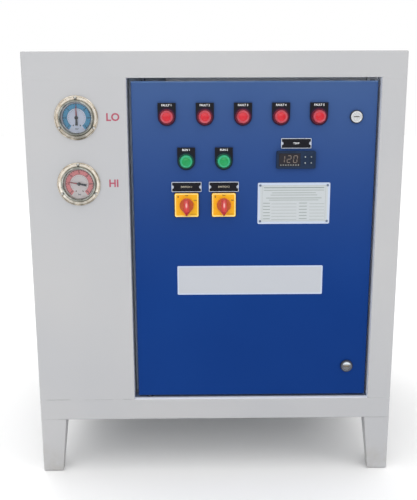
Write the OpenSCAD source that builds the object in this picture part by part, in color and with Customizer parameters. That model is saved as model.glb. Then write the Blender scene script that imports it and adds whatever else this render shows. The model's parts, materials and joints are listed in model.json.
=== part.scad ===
// An air cooled water chiller: a folded sheet steel cabinet on four pressed legs,
// with a recessed control door, two pressure gauges and a condenser fan at the back.
// Sizes are in millimetres. The front faces -Y and the feet stand on z = 0.

/* [Cabinet] */
// Width of the cabinet
cab_w = 750; // [650:1:1000]
// Depth of the cabinet
cab_d = 650; // [560:1:900]
// Height from the floor to the top
cab_h = 885; // [820:1:1200]
// Thickness of the folded sheet
sheet = 2; // [1.5:0.1:2.5]
// Outside radius of a fold
fold_r = 3.5; // [3:0.1:5]
// Depth of the returns round the cabinet's edges
return_d = 25; // [18:1:35]
// Gap along the edges of a side panel
panel_gap = 1; // [0.5:0.1:2]

/* [Base] */
// Height of the legs under the base frame
leg_h = 122; // [80:1:180]
// Width of a leg at its top
leg_top_w = 54; // [46:1:70]
// Width of a leg at the floor
leg_foot_w = 42; // [34:1:46]
// Thickness of a leg
leg_sheet = 3; // [2:0.1:5]
// Depth of a leg's inner lip at the top
leg_lip_top = 35; // [24:1:40]
// Depth of a leg's inner lip at the floor
leg_lip_foot = 15; // [10:1:22]
// Height of the base frame
rail_h = 45; // [35:1:60]
// Width of the base frame's flanges
rail_flange = 30; // [24:1:45]

/* [Door opening] */
// Width of the gauge panel left of the opening
left_panel_w = 202; // [180:1:240]
// Width of the stile right of the opening
right_stile_w = 49; // [40:1:70]
// Height of the band above the opening
header_h = 50; // [40:1:70]
// Depth of the control box behind the opening
box_d = 200; // [170:1:260]

/* [Door] */
// How far the door's face lies behind the cabinet's face
door_recess = 8; // [5:0.5:16]
// Depth of the door's returns
door_d = 24; // [20:1:30]
// Gap on the hinge side
gap_hinge = 8; // [8:0.5:12]
// Gap on the lock side
gap_lock = 5; // [5:0.5:8]
// Gap above the door
gap_top = 6; // [5:0.5:9]
// Gap below the door
gap_bottom = 5; // [5:0.5:8]
// Diameter of the pivot pins
pin_d = 8; // [6:0.5:10]
// Distance of the pivot pins from the door's edge
pin_inset = 24; // [20:1:28]
// Distance of the pivot pins behind the door's face
pin_setback = 12; // [11:0.5:13]
// Clearance round a pin or shaft
pin_fit = 0.05; // [0.03:0.01:0.09]
// Width of the door stops
stop_w = 22; // [18:1:26]
// Clearance behind the door and behind the stops
stop_gap = 6; // [5:0.5:8]

/* [Gauges] */
// Distance of the gauges from the cabinet's left edge
gauge_in = 103; // [90:1:115]
// Distance of the upper gauge from the top
gauge_drop = 126; // [110:1:150]
// Distance between the two gauges
gauge_pitch = 130; // [100:1:160]
// Diameter of a gauge's bezel
gauge_d = 68; // [60:1:80]
// Diameter of a gauge's flange
gauge_flange_d = 85; // [82:1:96]
// Turn of the low pressure pointer from upright, clockwise
low_reading = 0; // [-130:1:130]
// Turn of the high pressure pointer from upright, clockwise
high_reading = -80; // [-130:1:130]

/* [Lamps] */
// Number of red fault lamps
red_count = 5; // [3:1:5]
// Number of green running lamps
green_count = 2; // [1:1:2]
// Clearance between the end of the red row and the locks
lamp_lock_gap = 74.5; // [66:0.5:84]
// First red lamp from the door's left edge
red_in = 70; // [62:1:80]
// Red lamps below the door's top edge
red_drop = 69; // [60:1:76]
// First green lamp along the red row, in lamp spacings
green_place = 0.5; // [0.45:0.01:0.55]
// Green lamps below the door's top edge
green_drop = 156; // [150:1:162]
// Diameter of a lamp's lens
lens_d = 25.5; // [22:0.5:28]
// Width of a lamp's legend plate
legend_w = 35.5; // [34:0.5:38]
// Height of a legend plate above the lamp's centre
legend_up = 27; // [22:0.5:30]

/* [Switches] */
// Switches below the door's top edge
switch_drop = 244; // [240:1:256]
// Side of a switch plate
switch_w = 48; // [46:1:54]
// Diameter of a switch knob
knob_d = 28; // [24:1:32]
// Reach of a knob's pointer from its centre
knob_tip = 22; // [18:1:22.5]
// Height of a knob's grip
knob_h = 20; // [14:1:26]

/* [Plates] */
// Gap between the two switch labels
label_gap = 15; // [11:1:24]
// Height of a label frame
label_h = 20; // [16:1:22]
// Width of a label frame's raised rim
label_rim = 1.8; // [1.2:0.1:3]
// Controller along the red row, in lamp spacings
column_place = 3.42; // [3.3:0.01:3.5]
// Width of the temperature controller
controller_w = 78; // [70:1:84]
// Height of the temperature controller
controller_h = 35; // [30:1:38]
// Controller below the door's top edge
controller_drop = 154; // [150:1:160]
// Rating plate along the red row, in lamp spacings
rating_place = 3.39; // [3.3:0.01:3.45]
// Rating plate below the door's top edge
rating_drop = 242; // [238:1:250]
// Width of the rating plate, in lamp spacings
rating_share = 1.95; // [1.6:0.05:2.05]
// Height of the rating plate
rating_h = 84; // [70:1:92]
// Margin at each end of the name plate
name_margin = 93; // [70:1:120]
// Height of the name plate
name_h = 61; // [50:1:70]
// Name plate below the door's top edge
name_drop = 402; // [370:1:430]

/* [Locks] */
// Locks from the door's right edge
lock_in = 41.5; // [36:0.5:44]
// Upper lock below the door's top edge
lock_drop = 70; // [60:1:80]
// Lower lock above the door's bottom edge
lock_rise = 65; // [58:1:80]
// Diameter of a lock's flange
lock_d = 26; // [24:0.5:30]
// Length of a lock's tongue
tongue_l = 40; // [36:1:42]

/* [Louvres] */
// Rows of louvres on each side
louvre_rows = 11; // [6:1:12]
// Length of a louvre
louvre_l = 230; // [160:1:250]
// Height of a louvre
louvre_h = 22; // [16:1:26]
// How far a louvre stands out
louvre_out = 9; // [7:0.5:12]
// Distance between rows
louvre_pitch = 34; // [30:1:40]

/* [Fan and coil] */
// Inside diameter of the fan ring
fan_d = 400; // [340:1:420]
// Number of fan blades
blade_count = 5; // [4:1:7]
// Pitch angle of the blades
blade_pitch = 28; // [20:1:34]
// Distance of the guard from the fan ring
guard_off = 16; // [14:1:22]
// Thickness of the guard's wire
wire_d = 4; // [3:0.5:5]
// Number of wire rings in the guard
guard_rings = 7; // [5:1:9]
// Thickness of the condenser coil
coil_t = 66; // [44:1:80]

/* [Rear fittings] */
// Height of the fittings above the base frame
fitting_rise = 48; // [40:1:60]
// Inside diameter of a water socket
socket_bore = 30.3; // [25:0.1:34]
// Distance between the water sockets
socket_pitch = 110; // [90:1:140]
// Inside diameter of the cable gland
gland_bore = 13; // [10:0.5:16]

/* [Hidden] */
$fn = 64;
seat = 0.3;
rail_top = leg_h + rail_h;
open_l = -cab_w / 2 + left_panel_w;
open_r = cab_w / 2 - right_stile_w;
open_top = cab_h - header_h;
door_l = open_l + gap_hinge;
door_r = open_r - gap_lock;
door_b = rail_top + gap_bottom;
door_t = open_top - gap_top;
pin_x = door_l + pin_inset;
pin_y = door_recess + pin_setback;
stop_y = door_recess + door_d + stop_gap;
tongue_y = stop_y + sheet + stop_gap;
tongue_t = 3;
foot_r = 5;
side_d = 14;
hub_deep = 44;
tip_gap = 8;
breaker_w = 17.4;
breaker_step = 18;
breaker_deep = 44;
breaker_nose = 60;
breaker_half = 42;
contactor_w = 45;
contactor_step = 54;
contactor_deep = 52;
contactor_nose = 78;
contactor_half = 38;
lamp_body_l = 38;
switch_body_w = 42;
switch_body_l = 45;
switch_neck_d = 15;
controller_t = 7;
key_zone = 26;
key_step = 12;
key_rise = 12;
key_w = 6;
key_h = 7;
window_rim = 9;
plate_inset = 20;
rail_inset = 50;
din_rail_h = 35;
boss_l = 14;
boss_wall = 4;
pin_bite = 4;
controller_deep = 60;
lock_body_l = 26;
case_deep = 30;
stem_d = 14;
stem_l = 22;
lamp_body_d = 21.6;
lamp_hole_d = 22.2;
legend_t = 4;
collar_w = 2.4;
collar_floor = 1;
plate_t = 5;
knob_base = 6;
shaft_d = 6;
knob_shaft = 14;
barrel_d = 18;
lock_body_d = 22;
gauge_x = -cab_w / 2 + gauge_in;
low_z = cab_h - gauge_drop;
high_z = low_z - gauge_pitch;
gauge_body_d = gauge_d - 3;
dial_r = gauge_d / 2 - 4.5;
dial_z = -6;
dial_t = 1.2;
pointer_z = -2.4;
fan_z = rail_top + (cab_h - rail_top) * 0.52;
ring_d = 60;
ring_flange = 22;
socket_out = 32;
coil_half = fan_d / 2 + 8;
coil_y = cab_d - ring_d - 34 - coil_t;
fitting_z = rail_top + fitting_rise;
gear_y = box_d - 10.5;
door_w = door_r - door_l;
lamp_places = 5;
lamp_pitch = (door_w - red_in - lock_in - lamp_lock_gap) / (lamp_places - 1);
label_w = lamp_pitch - label_gap;
rating_w = rating_share * lamp_pitch;
name_w = door_w - 2 * name_margin;
// The knobs reach furthest forward and the sockets furthest back, so the middle lies between.
front_reach = plate_t + seat + knob_base + knob_h - door_recess;
back_reach = socket_out;
front_y = -(cab_d + back_reach - front_reach) / 2;

// Moves a piece measured from the cabinet's front face into the shared frame.
module placed()
{
  translate([0, front_y, 0]) children();
}

// Turns a drawing to face the viewer: x to the right, y upwards, z forwards.
module facing(x, z, y = 0)
{
  translate([x, y, z]) rotate([90, 0, 0]) children();
}

// Turns a drawing to face backwards from the cabinet's back.
module facing_back(x, z)
{
  translate([x, cab_d, z]) rotate([-90, 0, 0]) children();
}

// A box between two corners.
module span(x0, x1, y0, y1, z0, z1)
{
  translate([x0, y0, z0]) cube([x1 - x0, y1 - y0, z1 - z0]);
}

// A flat rectangle with rounded corners, centred.
module rounded_rect(w, h, r)
{
  square([w - 2 * r, h], center = true);
  square([w, h - 2 * r], center = true);
  for (sx = [-1, 1], sy = [-1, 1])
    translate([sx * (w / 2 - r), sy * (h / 2 - r)]) circle(r);
}

// A flat rectangle whose two corners at y = 0 are rounded.
module round_front(w, d, r)
{
  translate([-w / 2, r]) square([w, d - r]);
  translate([-w / 2 + r, 0]) square([w - 2 * r, d]);
  for (s = [-1, 1])
    translate([s * (w / 2 - r), r]) circle(r);
}

// A block with rounded top and upright edges, standing on z = 0 and starting at y = 0.
module soft_block(w, d, h, r)
{
  intersection() {
    translate([0, d / 2, 0]) linear_extrude(h) rounded_rect(w, d, r);
    translate([0, 0, h]) rotate([-90, 0, 0]) linear_extrude(d) round_front(w, h, r);
    translate([-w / 2, d / 2, h]) rotate([0, 90, 0]) linear_extrude(w) rotate(-90) round_front(d, h, r);
  }
}

// A folded tray, open at the back, with its face at y = 0 and its middle at the origin.
module pan(w, h, d, r)
{
  difference() {
    pan_block(w, h, d, r);
    translate([0, sheet, 0]) pan_block(w - 2 * sheet, h - 2 * sheet, d, r - sheet);
  }
}

module pan_block(w, h, d, r)
{
  intersection() {
    linear_extrude(h, center = true) round_front(w, d, r);
    rotate([0, -90, 0]) linear_extrude(w, center = true) round_front(h, d, r);
  }
}

// The cabinet's whole skin, from which the front, top and back are cut.
module skin()
{
  skin_h = cab_h - rail_top;
  translate([0, 0, rail_top]) difference() {
    soft_block(cab_w, cab_d, skin_h, fold_r);
    translate([0, sheet, -sheet])
      soft_block(cab_w - 2 * sheet, cab_d - 2 * sheet, skin_h, fold_r - sheet);
  }
}

module base_frame()
{
  color("#c4c4c6") placed() difference() {
    translate([0, 0, leg_h]) soft_block(cab_w, cab_d, rail_h, fold_r);
    span(sheet - cab_w / 2, cab_w / 2 - sheet, sheet, cab_d - sheet, leg_h + sheet, rail_top - sheet);
    span(rail_flange - cab_w / 2, cab_w / 2 - rail_flange, rail_flange, cab_d - rail_flange,
      leg_h - 1, rail_top + 1);
    translate([pin_x, pin_y, rail_top - sheet - 1]) cylinder(d = pin_d + 2 * pin_fit, h = sheet + 2);
  }
}

module floor_tray()
{
  color("#b4b4b8") placed()
    span(sheet + 1 - cab_w / 2, cab_w / 2 - sheet - 1, sheet + 1, cab_d - sheet - 1,
      leg_h + sheet, leg_h + 2 * sheet);
}

// A tapered outline of a leg whose two lower corners are rounded by r.
module leg_outline(near_foot, near_top, far_foot, far_top, bottom, r)
{
  rise = leg_h - bottom;
  run = far_top - far_foot;
  slant = sqrt(rise * rise + run * run);
  far_c = far_foot - r * (slant - run) / rise;
  polygon([[near_foot, bottom + r], [near_foot + r, bottom], [far_c, bottom],
    [far_c + r * rise / slant, bottom + r - r * run / slant], [far_top, leg_h], [near_top, leg_h]]);
  if (r > 0)
    for (x = [near_foot + r, far_c])
      translate([x, bottom + r]) circle(r);
}

// A tapered corner block seen alike from the front and from the side.
module leg_block(near_foot, near_top, far_foot, far_top, bottom, r)
{
  intersection() {
    translate([0, far_top + 1, 0]) rotate([90, 0, 0]) linear_extrude(far_top + 2)
      leg_outline(near_foot, near_top, far_foot, far_top, bottom, r);
    translate([-1, 0, 0]) rotate([90, 0, 90]) linear_extrude(far_top + 2)
      leg_outline(near_foot, near_top, far_foot, far_top, bottom, r);
  }
}

module leg()
{
  inner_r = foot_r - leg_sheet;
  difference() {
    intersection() {
      leg_block(0, 0, leg_foot_w, leg_top_w, 0, foot_r);
      linear_extrude(leg_h) {
        translate([fold_r, 0]) square([leg_top_w, leg_top_w]);
        translate([0, fold_r]) square([leg_top_w, leg_top_w]);
        translate([fold_r, fold_r]) circle(fold_r);
      }
    }
    leg_block(leg_sheet, leg_sheet, leg_foot_w - leg_sheet, leg_top_w - leg_sheet, leg_sheet, inner_r);
    leg_block(leg_lip_foot, leg_lip_top, leg_top_w + 1, leg_top_w + 1, -1, 0);
    translate([0, 0, leg_h - 0.01]) cube([leg_top_w + 1, leg_top_w + 1, 1]);
  }
}

module front_left_leg()
{
  color("#c4c4c6") placed() translate([-cab_w / 2, 0, 0]) leg();
}

module front_right_leg()
{
  color("#c4c4c6") placed() translate([cab_w / 2, 0, 0]) mirror([1, 0, 0]) leg();
}

module back_left_leg()
{
  color("#c4c4c6") placed() translate([-cab_w / 2, cab_d, 0]) mirror([0, 1, 0]) leg();
}

module back_right_leg()
{
  color("#c4c4c6") placed() translate([cab_w / 2, cab_d, 0]) mirror([1, 0, 0]) mirror([0, 1, 0]) leg();
}

module gauge_panel()
{
  color("#c4c4c6") placed() difference() {
    intersection() {
      skin();
      span(-cab_w, open_l, -1, return_d, rail_top, open_top);
    }
    for (z = [low_z, high_z])
      facing(gauge_x, z, sheet + 2) cylinder(d = gauge_body_d + 1, h = sheet + 4);
  }
}

module front_header()
{
  color("#c4c4c6") placed() intersection() {
    skin();
    span(-cab_w, cab_w, -1, return_d, open_top, cab_h + 1);
  }
}

module front_stile()
{
  color("#c4c4c6") placed() intersection() {
    skin();
    span(open_r, cab_w, -1, return_d, rail_top, open_top);
  }
}

module top_panel()
{
  color("#c4c4c6") placed() intersection() {
    skin();
    span(-cab_w, cab_w, return_d, cab_d - return_d, cab_h - return_d, cab_h + 1);
  }
}

module back_panel()
{
  color("#c4c4c6") placed() difference() {
    intersection() {
      skin();
      span(-cab_w, cab_w, cab_d - return_d, cab_d + 1, rail_top, cab_h + 1);
    }
    facing_back(0, fan_z) translate([0, 0, -sheet - 2]) cylinder(d = fan_d + 6, h = sheet + 4, $fn = 128);
    for (s = [-1, 1])
      facing_back(s * socket_pitch / 2, fitting_z)
        translate([0, 0, -sheet - 2]) cylinder(d = socket_bore + 11, h = sheet + 4);
    facing_back(socket_pitch * 1.5, fitting_z)
      translate([0, 0, -sheet - 2]) cylinder(d = gland_bore + 9, h = sheet + 4);
  }
}

// One pressed louvre in the side panel's own frame: the panel's face is at y = 0, outwards is -y.
louvre_c = (louvre_h * louvre_h - louvre_out * louvre_out) / (2 * louvre_out);
module hood_outline(less)
{
  intersection() {
    translate([-louvre_c, 0]) circle(louvre_c + louvre_out - less);
    translate([0, less > 0 ? -1 : 0]) square([louvre_out, louvre_h + 1]);
  }
}

module louvre_hood()
{
  rotate([90, 0, 90]) difference() {
    linear_extrude(louvre_l, center = true) mirror([1, 0]) hood_outline(0);
    linear_extrude(louvre_l - 2 * sheet, center = true) mirror([1, 0]) hood_outline(sheet);
  }
}

module side_panel()
{
  side_h = cab_h - return_d - panel_gap - rail_top;
  side_w = cab_d - 2 * return_d - 2 * panel_gap;
  bank_z = -(louvre_rows - 1) * louvre_pitch / 2;
  translate([0, 0, rail_top + side_h / 2]) {
    difference() {
      pan(side_w, side_h, side_d, fold_r);
      for (s = [-1, 1], i = [0 : louvre_rows - 1])
        translate([s * side_w / 4 - louvre_l / 2 + sheet, -1, bank_z + i * louvre_pitch])
          cube([louvre_l - 2 * sheet, sheet + 2, louvre_h * 0.7]);
    }
    for (s = [-1, 1], i = [0 : louvre_rows - 1])
      translate([s * side_w / 4, 0, bank_z + i * louvre_pitch]) louvre_hood();
  }
}

module left_side_panel()
{
  color("#c4c4c6") placed() translate([-cab_w / 2, cab_d / 2, 0]) rotate([0, 0, -90]) side_panel();
}

module right_side_panel()
{
  color("#c4c4c6") placed() translate([cab_w / 2, cab_d / 2, 0]) rotate([0, 0, 90]) side_panel();
}

module fan_ring()
{
  r = fan_d / 2;
  color("#8e9094") placed() facing_back(0, fan_z) rotate_extrude($fn = 128)
    polygon([[r, -ring_d], [r + 8, -ring_d], [r + 8, -ring_d + sheet], [r + sheet, -ring_d + sheet],
      [r + sheet, 0], [r + ring_flange, 0], [r + ring_flange, sheet], [r, sheet]]);
}

spoke_z = sheet + guard_off;
hub_plate_d = 116;
module fan_guard()
{
  inner_r = hub_plate_d / 2 + 16;
  outer_r = fan_d / 2 + 4;
  stay_r = fan_d / 2 + ring_flange / 2;
  spoke_from = hub_plate_d / 2 - 4;
  ring_step = (outer_r - inner_r) / (guard_rings - 1);
  color("#202124") placed() facing_back(0, fan_z) {
    for (i = [0 : guard_rings - 1])
      rotate_extrude($fn = 96)
        translate([inner_r + i * ring_step, spoke_z + wire_d * 0.8]) circle(d = wire_d, $fn = 8);
    for (i = [0 : 7])
      rotate(i * 45 + 22.5) translate([spoke_from, 0, spoke_z])
        rotate([0, 90, 0]) cylinder(d = wire_d + 1, h = stay_r - spoke_from, $fn = 8);
    for (i = [0 : 3])
      rotate(i * 90 + 22.5) translate([stay_r, 0, sheet]) cylinder(d = 9, h = guard_off + wire_d);
    translate([0, 0, spoke_z - 1.5]) cylinder(d = hub_plate_d, h = 3);
  }
}

// A blade's section across the radius: a thin curved sheet.
blade_curve = fan_d * 0.375;
blade_chord = fan_d * 0.35;
module blade_section()
{
  intersection() {
    translate([0, -blade_curve]) difference() {
      circle(blade_curve, $fn = 128);
      circle(blade_curve - sheet, $fn = 128);
    }
    translate([-blade_chord / 2, -blade_chord / 3]) square([blade_chord, blade_chord / 2]);
  }
}

module fan_blade()
{
  tip = fan_d / 2 - tip_gap;
  root = hub_plate_d / 2;
  intersection() {
    translate([0, 0, -0.3 * ring_d]) rotate([blade_pitch, 0, 0]) rotate([90, 0, 90])
      linear_extrude(tip * 1.05) blade_section();
    translate([0, 0, -1.2 * ring_d]) cylinder(r = tip, h = 1.5 * ring_d, $fn = 128);
    translate([0, 0, -1.2 * ring_d]) linear_extrude(1.5 * ring_d)
      polygon([[root * 0.5, -root * 0.45], [tip * 0.7, -tip * 0.32], [tip * 1.05, -tip * 0.36],
        [tip * 1.05, tip * 0.27], [tip * 0.6, tip * 0.22], [root * 0.5, root * 0.45]]);
  }
}

module condenser_fan()
{
  color("#2a2b2e") placed() facing_back(0, fan_z) {
    translate([0, 0, -hub_deep]) cylinder(d = hub_plate_d * 0.9, h = spoke_z - 1.5 + hub_deep);
    for (i = [0 : blade_count - 1])
      rotate(i * 360 / blade_count) fan_blade();
  }
}

module condenser_coil()
{
  color("#b9bcc0") placed() {
    span(-coil_half, coil_half, coil_y, coil_y + coil_t, fan_z - coil_half, fan_z + coil_half);
    for (s = [-1, 1])
      translate([s * (coil_half + sheet / 2), coil_y - 5, leg_h + 2 * sheet])
        translate([-sheet / 2, 0, 0])
          cube([sheet, coil_t + 10, fan_z + coil_half + 10 - leg_h - 2 * sheet]);
  }
}

module water_sockets()
{
  pipe_d = socket_bore + 10;
  color("#b58d4a") placed() for (s = [-1, 1])
    facing_back(s * socket_pitch / 2, fitting_z) difference() {
      union() {
        cylinder(d = pipe_d + 20, h = 11, $fn = 6);
        translate([0, 0, -40]) cylinder(d = pipe_d, h = socket_out + 40);
        translate([0, 0, socket_out - 8]) cylinder(d = pipe_d + 5, h = 8);
        translate([0, 0, -sheet - 9]) cylinder(d = pipe_d + 20, h = 9, $fn = 6);
      }
      translate([0, 0, -41]) cylinder(d = socket_bore, h = socket_out + 42);
    }
}

module cable_gland()
{
  color("#33353a") placed() facing_back(socket_pitch * 1.5, fitting_z) difference() {
    union() {
      cylinder(d = gland_bore + 18, h = 7, $fn = 6);
      cylinder(d = gland_bore + 10, h = 16);
      translate([0, 0, 16]) cylinder(d1 = gland_bore + 14, d2 = gland_bore + 4, h = 8);
      translate([0, 0, -16]) cylinder(d = gland_bore + 8, h = 16);
      translate([0, 0, -sheet - 6]) cylinder(d = gland_bore + 18, h = 6, $fn = 6);
    }
    translate([0, 0, -17]) cylinder(d = gland_bore, h = 42);
  }
}

module control_box()
{
  color("#c4c4c6") placed() difference() {
    span(open_l - sheet, open_r + sheet, sheet, box_d + sheet, rail_top - sheet, open_top + sheet);
    span(open_l, open_r, 0, box_d, rail_top, open_top);
    span(-cab_w, cab_w, 0, rail_flange, rail_top - sheet - 1, rail_top);
    translate([pin_x, pin_y, open_top - 1]) cylinder(d = pin_d + 2 * pin_fit, h = sheet + 2);
  }
}

upper_rail_z = rail_top + (open_top - rail_top) * 0.74;
lower_rail_z = rail_top + (open_top - rail_top) * 0.5;
module mounting_plate()
{
  color("#d8d8d4") placed() {
    span(open_l + plate_inset, open_r - plate_inset, box_d - 3, box_d,
      rail_top + plate_inset, open_top - plate_inset);
    for (z = [upper_rail_z, lower_rail_z])
      span(open_l + rail_inset, open_r - rail_inset, gear_y, box_d - 2,
        z - din_rail_h / 2, z + din_rail_h / 2);
  }
}

// A row of like devices clipped on a rail: their side outline drawn along the row.
module device_row(count, wide, pitch, z, deep, nose, half)
{
  for (i = [0 : count - 1])
    translate([(open_l + open_r) / 2 + (i - (count - 1) / 2) * pitch - wide / 2, gear_y, z])
      rotate([90, 0, 90]) linear_extrude(wide)
        polygon([[0, -half], [0, half], [-deep, half], [-deep, half / 2], [-nose, half / 2],
          [-nose, -half / 2], [-deep, -half / 2], [-deep, -half]]);
}

module circuit_breakers()
{
  color("#e6e6e2") placed() device_row(8, breaker_w, breaker_step, upper_rail_z,
    breaker_deep, breaker_nose, breaker_half);
}

module contactors()
{
  color("#3a3c40") placed() device_row(3, contactor_w, contactor_step, lower_rail_z,
    contactor_deep, contactor_nose, contactor_half);
}

module door_stops()
{
  color("#c4c4c6") placed() {
    span(open_r - stop_w, open_r, stop_y, stop_y + sheet, rail_top, open_top);
    for (z = [rail_top, open_top - stop_w])
      span(pin_x + pin_inset + 20, open_r - stop_w - 2, stop_y, stop_y + sheet, z, z + stop_w);
  }
}

module pivot_pins()
{
  color("#9a9ca0") placed() translate([pin_x, pin_y, 0]) {
    translate([0, 0, door_t - 16]) cylinder(d = pin_d, h = open_top + sheet - door_t + 16);
    translate([0, 0, open_top + sheet]) cylinder(d = pin_d + 6, h = 3);
    translate([0, 0, rail_top - sheet]) cylinder(d = pin_d, h = door_b + 16 - rail_top + sheet);
    translate([0, 0, rail_top - sheet - 3]) cylinder(d = pin_d + 6, h = 3);
    translate([0, 0, rail_top]) cylinder(d = pin_d + 6, h = gap_bottom - seat);
  }
}

// A gauge's case turned about its axis: body, panel flange and bezel, open at the front.
module gauge_case()
{
  r = gauge_d / 2;
  body = gauge_body_d / 2;
  rim = gauge_flange_d / 2;
  difference() {
    rotate_extrude($fn = 96)
      polygon([[0, -case_deep], [body, -case_deep], [body, 0], [rim, 0], [rim, 1.2],
        [rim - 0.6, 1.8], [r, 1.8], [r, 6.5], [r - 1.2, 8], [r - 2.6, 8],
        [r - 3.8, 6], [r - 2.5, 6], [r - 2.5, 4], [dial_r + 0.3, 4], [dial_r + 0.3, dial_z], [0, dial_z]]);
    translate([0, 0, dial_z - 8]) cylinder(d = 3 + 2 * pin_fit, h = 10);
  }
  translate([0, 0, -case_deep - stem_l]) cylinder(d = stem_d, h = stem_l + 1);
}

module gauge_cases()
{
  color("#c9c2ae") placed() for (z = [low_z, high_z])
    facing(gauge_x, z) gauge_case();
}

module gauge_dials()
{
  color("#e6e6f2") placed() for (z = [low_z, high_z])
    facing(gauge_x, z) translate([0, 0, dial_z]) difference() {
      cylinder(r = dial_r, h = dial_t);
      translate([0, 0, -1]) cylinder(d = 4, h = dial_t + 2);
    }
}

module gauge_glasses()
{
  color("#dfe8ee") placed() for (z = [low_z, high_z])
    facing(gauge_x, z) translate([0, 0, 4]) cylinder(r = gauge_d / 2 - 2.6, h = 1.9);
}

module gauge_pointer(turn)
{
  translate([0, 0, pointer_z]) rotate(-turn) {
    linear_extrude(0.8) {
      polygon([[-1.6, 0], [1.6, 0], [0.4, dial_r - 6], [-0.4, dial_r - 6]]);
      polygon([[-1.4, 0], [1.4, 0], [2.6, -dial_r * 0.5], [-2.6, -dial_r * 0.5]]);
    }
    cylinder(d = 7, h = 1.8);
    translate([0, 0, dial_z - 6 - pointer_z]) cylinder(d = 3, h = pointer_z - dial_z + 7);
  }
}

module low_pressure_pointer()
{
  color("#2a2a30") placed() facing(gauge_x, low_z) gauge_pointer(low_reading);
}

module high_pressure_pointer()
{
  color("#2a2a30") placed() facing(gauge_x, high_z) gauge_pointer(high_reading);
}

function red_x(i) = door_l + red_in + i * lamp_pitch;
function green_x(i) = red_x(i + green_place);
red_z = door_t - red_drop;
green_z = door_t - green_drop;
switch_z = door_t - switch_drop;
switch_label_z = switch_z + switch_w / 2 + label_h / 2 + 2.5;
column_x = red_x(column_place);
controller_z = door_t - controller_drop;
controller_label_z = controller_z + controller_h / 2 + label_h / 2 + 5;
name_x = (door_l + door_r) / 2 - 6;
lock_x = door_r - lock_in;
upper_lock_z = door_t - lock_drop;
lower_lock_z = door_b + lock_rise;

// Places a drawing on the door's face.
module on_door(x, z)
{
  facing(x, z, door_recess) children();
}

module at_lamps()
{
  for (i = [0 : red_count - 1])
    on_door(red_x(i), red_z) children();
  for (i = [0 : green_count - 1])
    on_door(green_x(i), green_z) children();
}

module at_switches()
{
  for (i = [0, 1])
    on_door(green_x(i), switch_z) children();
}

module at_locks()
{
  for (z = [upper_lock_z, lower_lock_z])
    on_door(lock_x, z) children();
}

// A hole through the door's face.
module face_hole(d)
{
  translate([0, 0, -sheet - 1]) cylinder(d = d, h = sheet + 2);
}

module door()
{
  color("#1d4a92") placed() difference() {
    union() {
      translate([(door_l + door_r) / 2, door_recess, (door_b + door_t) / 2])
        pan(door_r - door_l, door_t - door_b, door_d, fold_r);
      for (z = [door_b + sheet, door_t - sheet - boss_l])
        translate([pin_x, pin_y, z]) cylinder(d = pin_d + 2 * boss_wall, h = boss_l);
    }
    for (z = [door_b - 1, door_t - boss_l - pin_bite])
      translate([pin_x, pin_y, z]) cylinder(d = pin_d + 2 * pin_fit, h = boss_l + pin_bite + 1);
    at_lamps() face_hole(lamp_hole_d);
    at_switches() face_hole(switch_neck_d + 1);
    at_locks() face_hole(lock_body_d + 0.4);
    on_door(column_x, controller_z) translate([0, 0, -sheet / 2])
      cube([controller_w - 6, controller_h - 5, sheet + 2], center = true);
  }
}

module lamp_legends()
{
  color("#1a1b1e") placed() at_lamps() linear_extrude(legend_t) difference() {
    union() {
      circle(d = legend_w);
      translate([-legend_w / 2, 0]) square([legend_w, legend_up]);
    }
    circle(d = lamp_hole_d);
  }
}

// A lamp's lens turned about its axis: a tapered wall and a stepped face.
module lens()
{
  r = lens_d / 2;
  translate([0, 0, legend_t + collar_floor]) rotate_extrude()
    polygon([[0, 0], [r, 0], [r, 2.4], [r - 0.5, 7.6], [r - 1.6, 8.8], [r - 4, 8.8],
      [r - 4.6, 8.2], [0, 8.2]]);
}

// The dark collar that holds a lens on its legend plate.
module lamp_collar()
{
  r = lens_d / 2;
  rotate_extrude()
    polygon([[0, 0], [r + collar_w, 0], [r + collar_w, 2.2], [r + collar_w - 1, 3.2], [r + seat, 3.2],
      [r + seat, collar_floor], [0, collar_floor]]);
}

module red_lamps()
{
  color("#c22a22") placed() for (i = [0 : red_count - 1])
    on_door(red_x(i), red_z) lens();
}

module green_lamps()
{
  color("#2c9a44") placed() for (i = [0 : green_count - 1])
    on_door(green_x(i), green_z) lens();
}

module control_bodies()
{
  color("#26272b") placed() {
    at_lamps() {
      translate([0, 0, -sheet - lamp_body_l]) cylinder(d = lamp_body_d, h = sheet + lamp_body_l + legend_t);
      translate([0, 0, legend_t]) lamp_collar();
      translate([0, 0, -sheet - 6]) cylinder(d = lamp_body_d + 9, h = 6, $fn = 6);
    }
    at_switches() difference() {
      union() {
        translate([-switch_body_w / 2, -switch_body_w / 2, -sheet - switch_body_l])
          cube([switch_body_w, switch_body_w, switch_body_l]);
        translate([0, 0, -sheet - 1]) cylinder(d = switch_neck_d, h = sheet + plate_t);
      }
      translate([0, 0, -16]) cylinder(d = shaft_d + 2 * pin_fit, h = 16 + plate_t);
    }
  }
}

module switch_plates()
{
  color("#e8b81e") placed() at_switches() difference() {
    linear_extrude(plate_t) rounded_rect(switch_w, switch_w, 3);
    translate([0, 0, -1]) cylinder(d = switch_neck_d + 1, h = plate_t + 2);
  }
}

module label_frame()
{
  difference() {
    linear_extrude(3) rounded_rect(label_w, label_h, 1.5);
    translate([0, 0, 3])
      cube([label_w - 2 * label_rim, label_h - 2 * label_rim, 1.6], center = true);
  }
}

module label_frames()
{
  color("#e8e8e8") placed() {
    for (i = [0, 1])
      on_door(green_x(i), switch_label_z) label_frame();
    on_door(column_x, controller_label_z) label_frame();
  }
}

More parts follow.
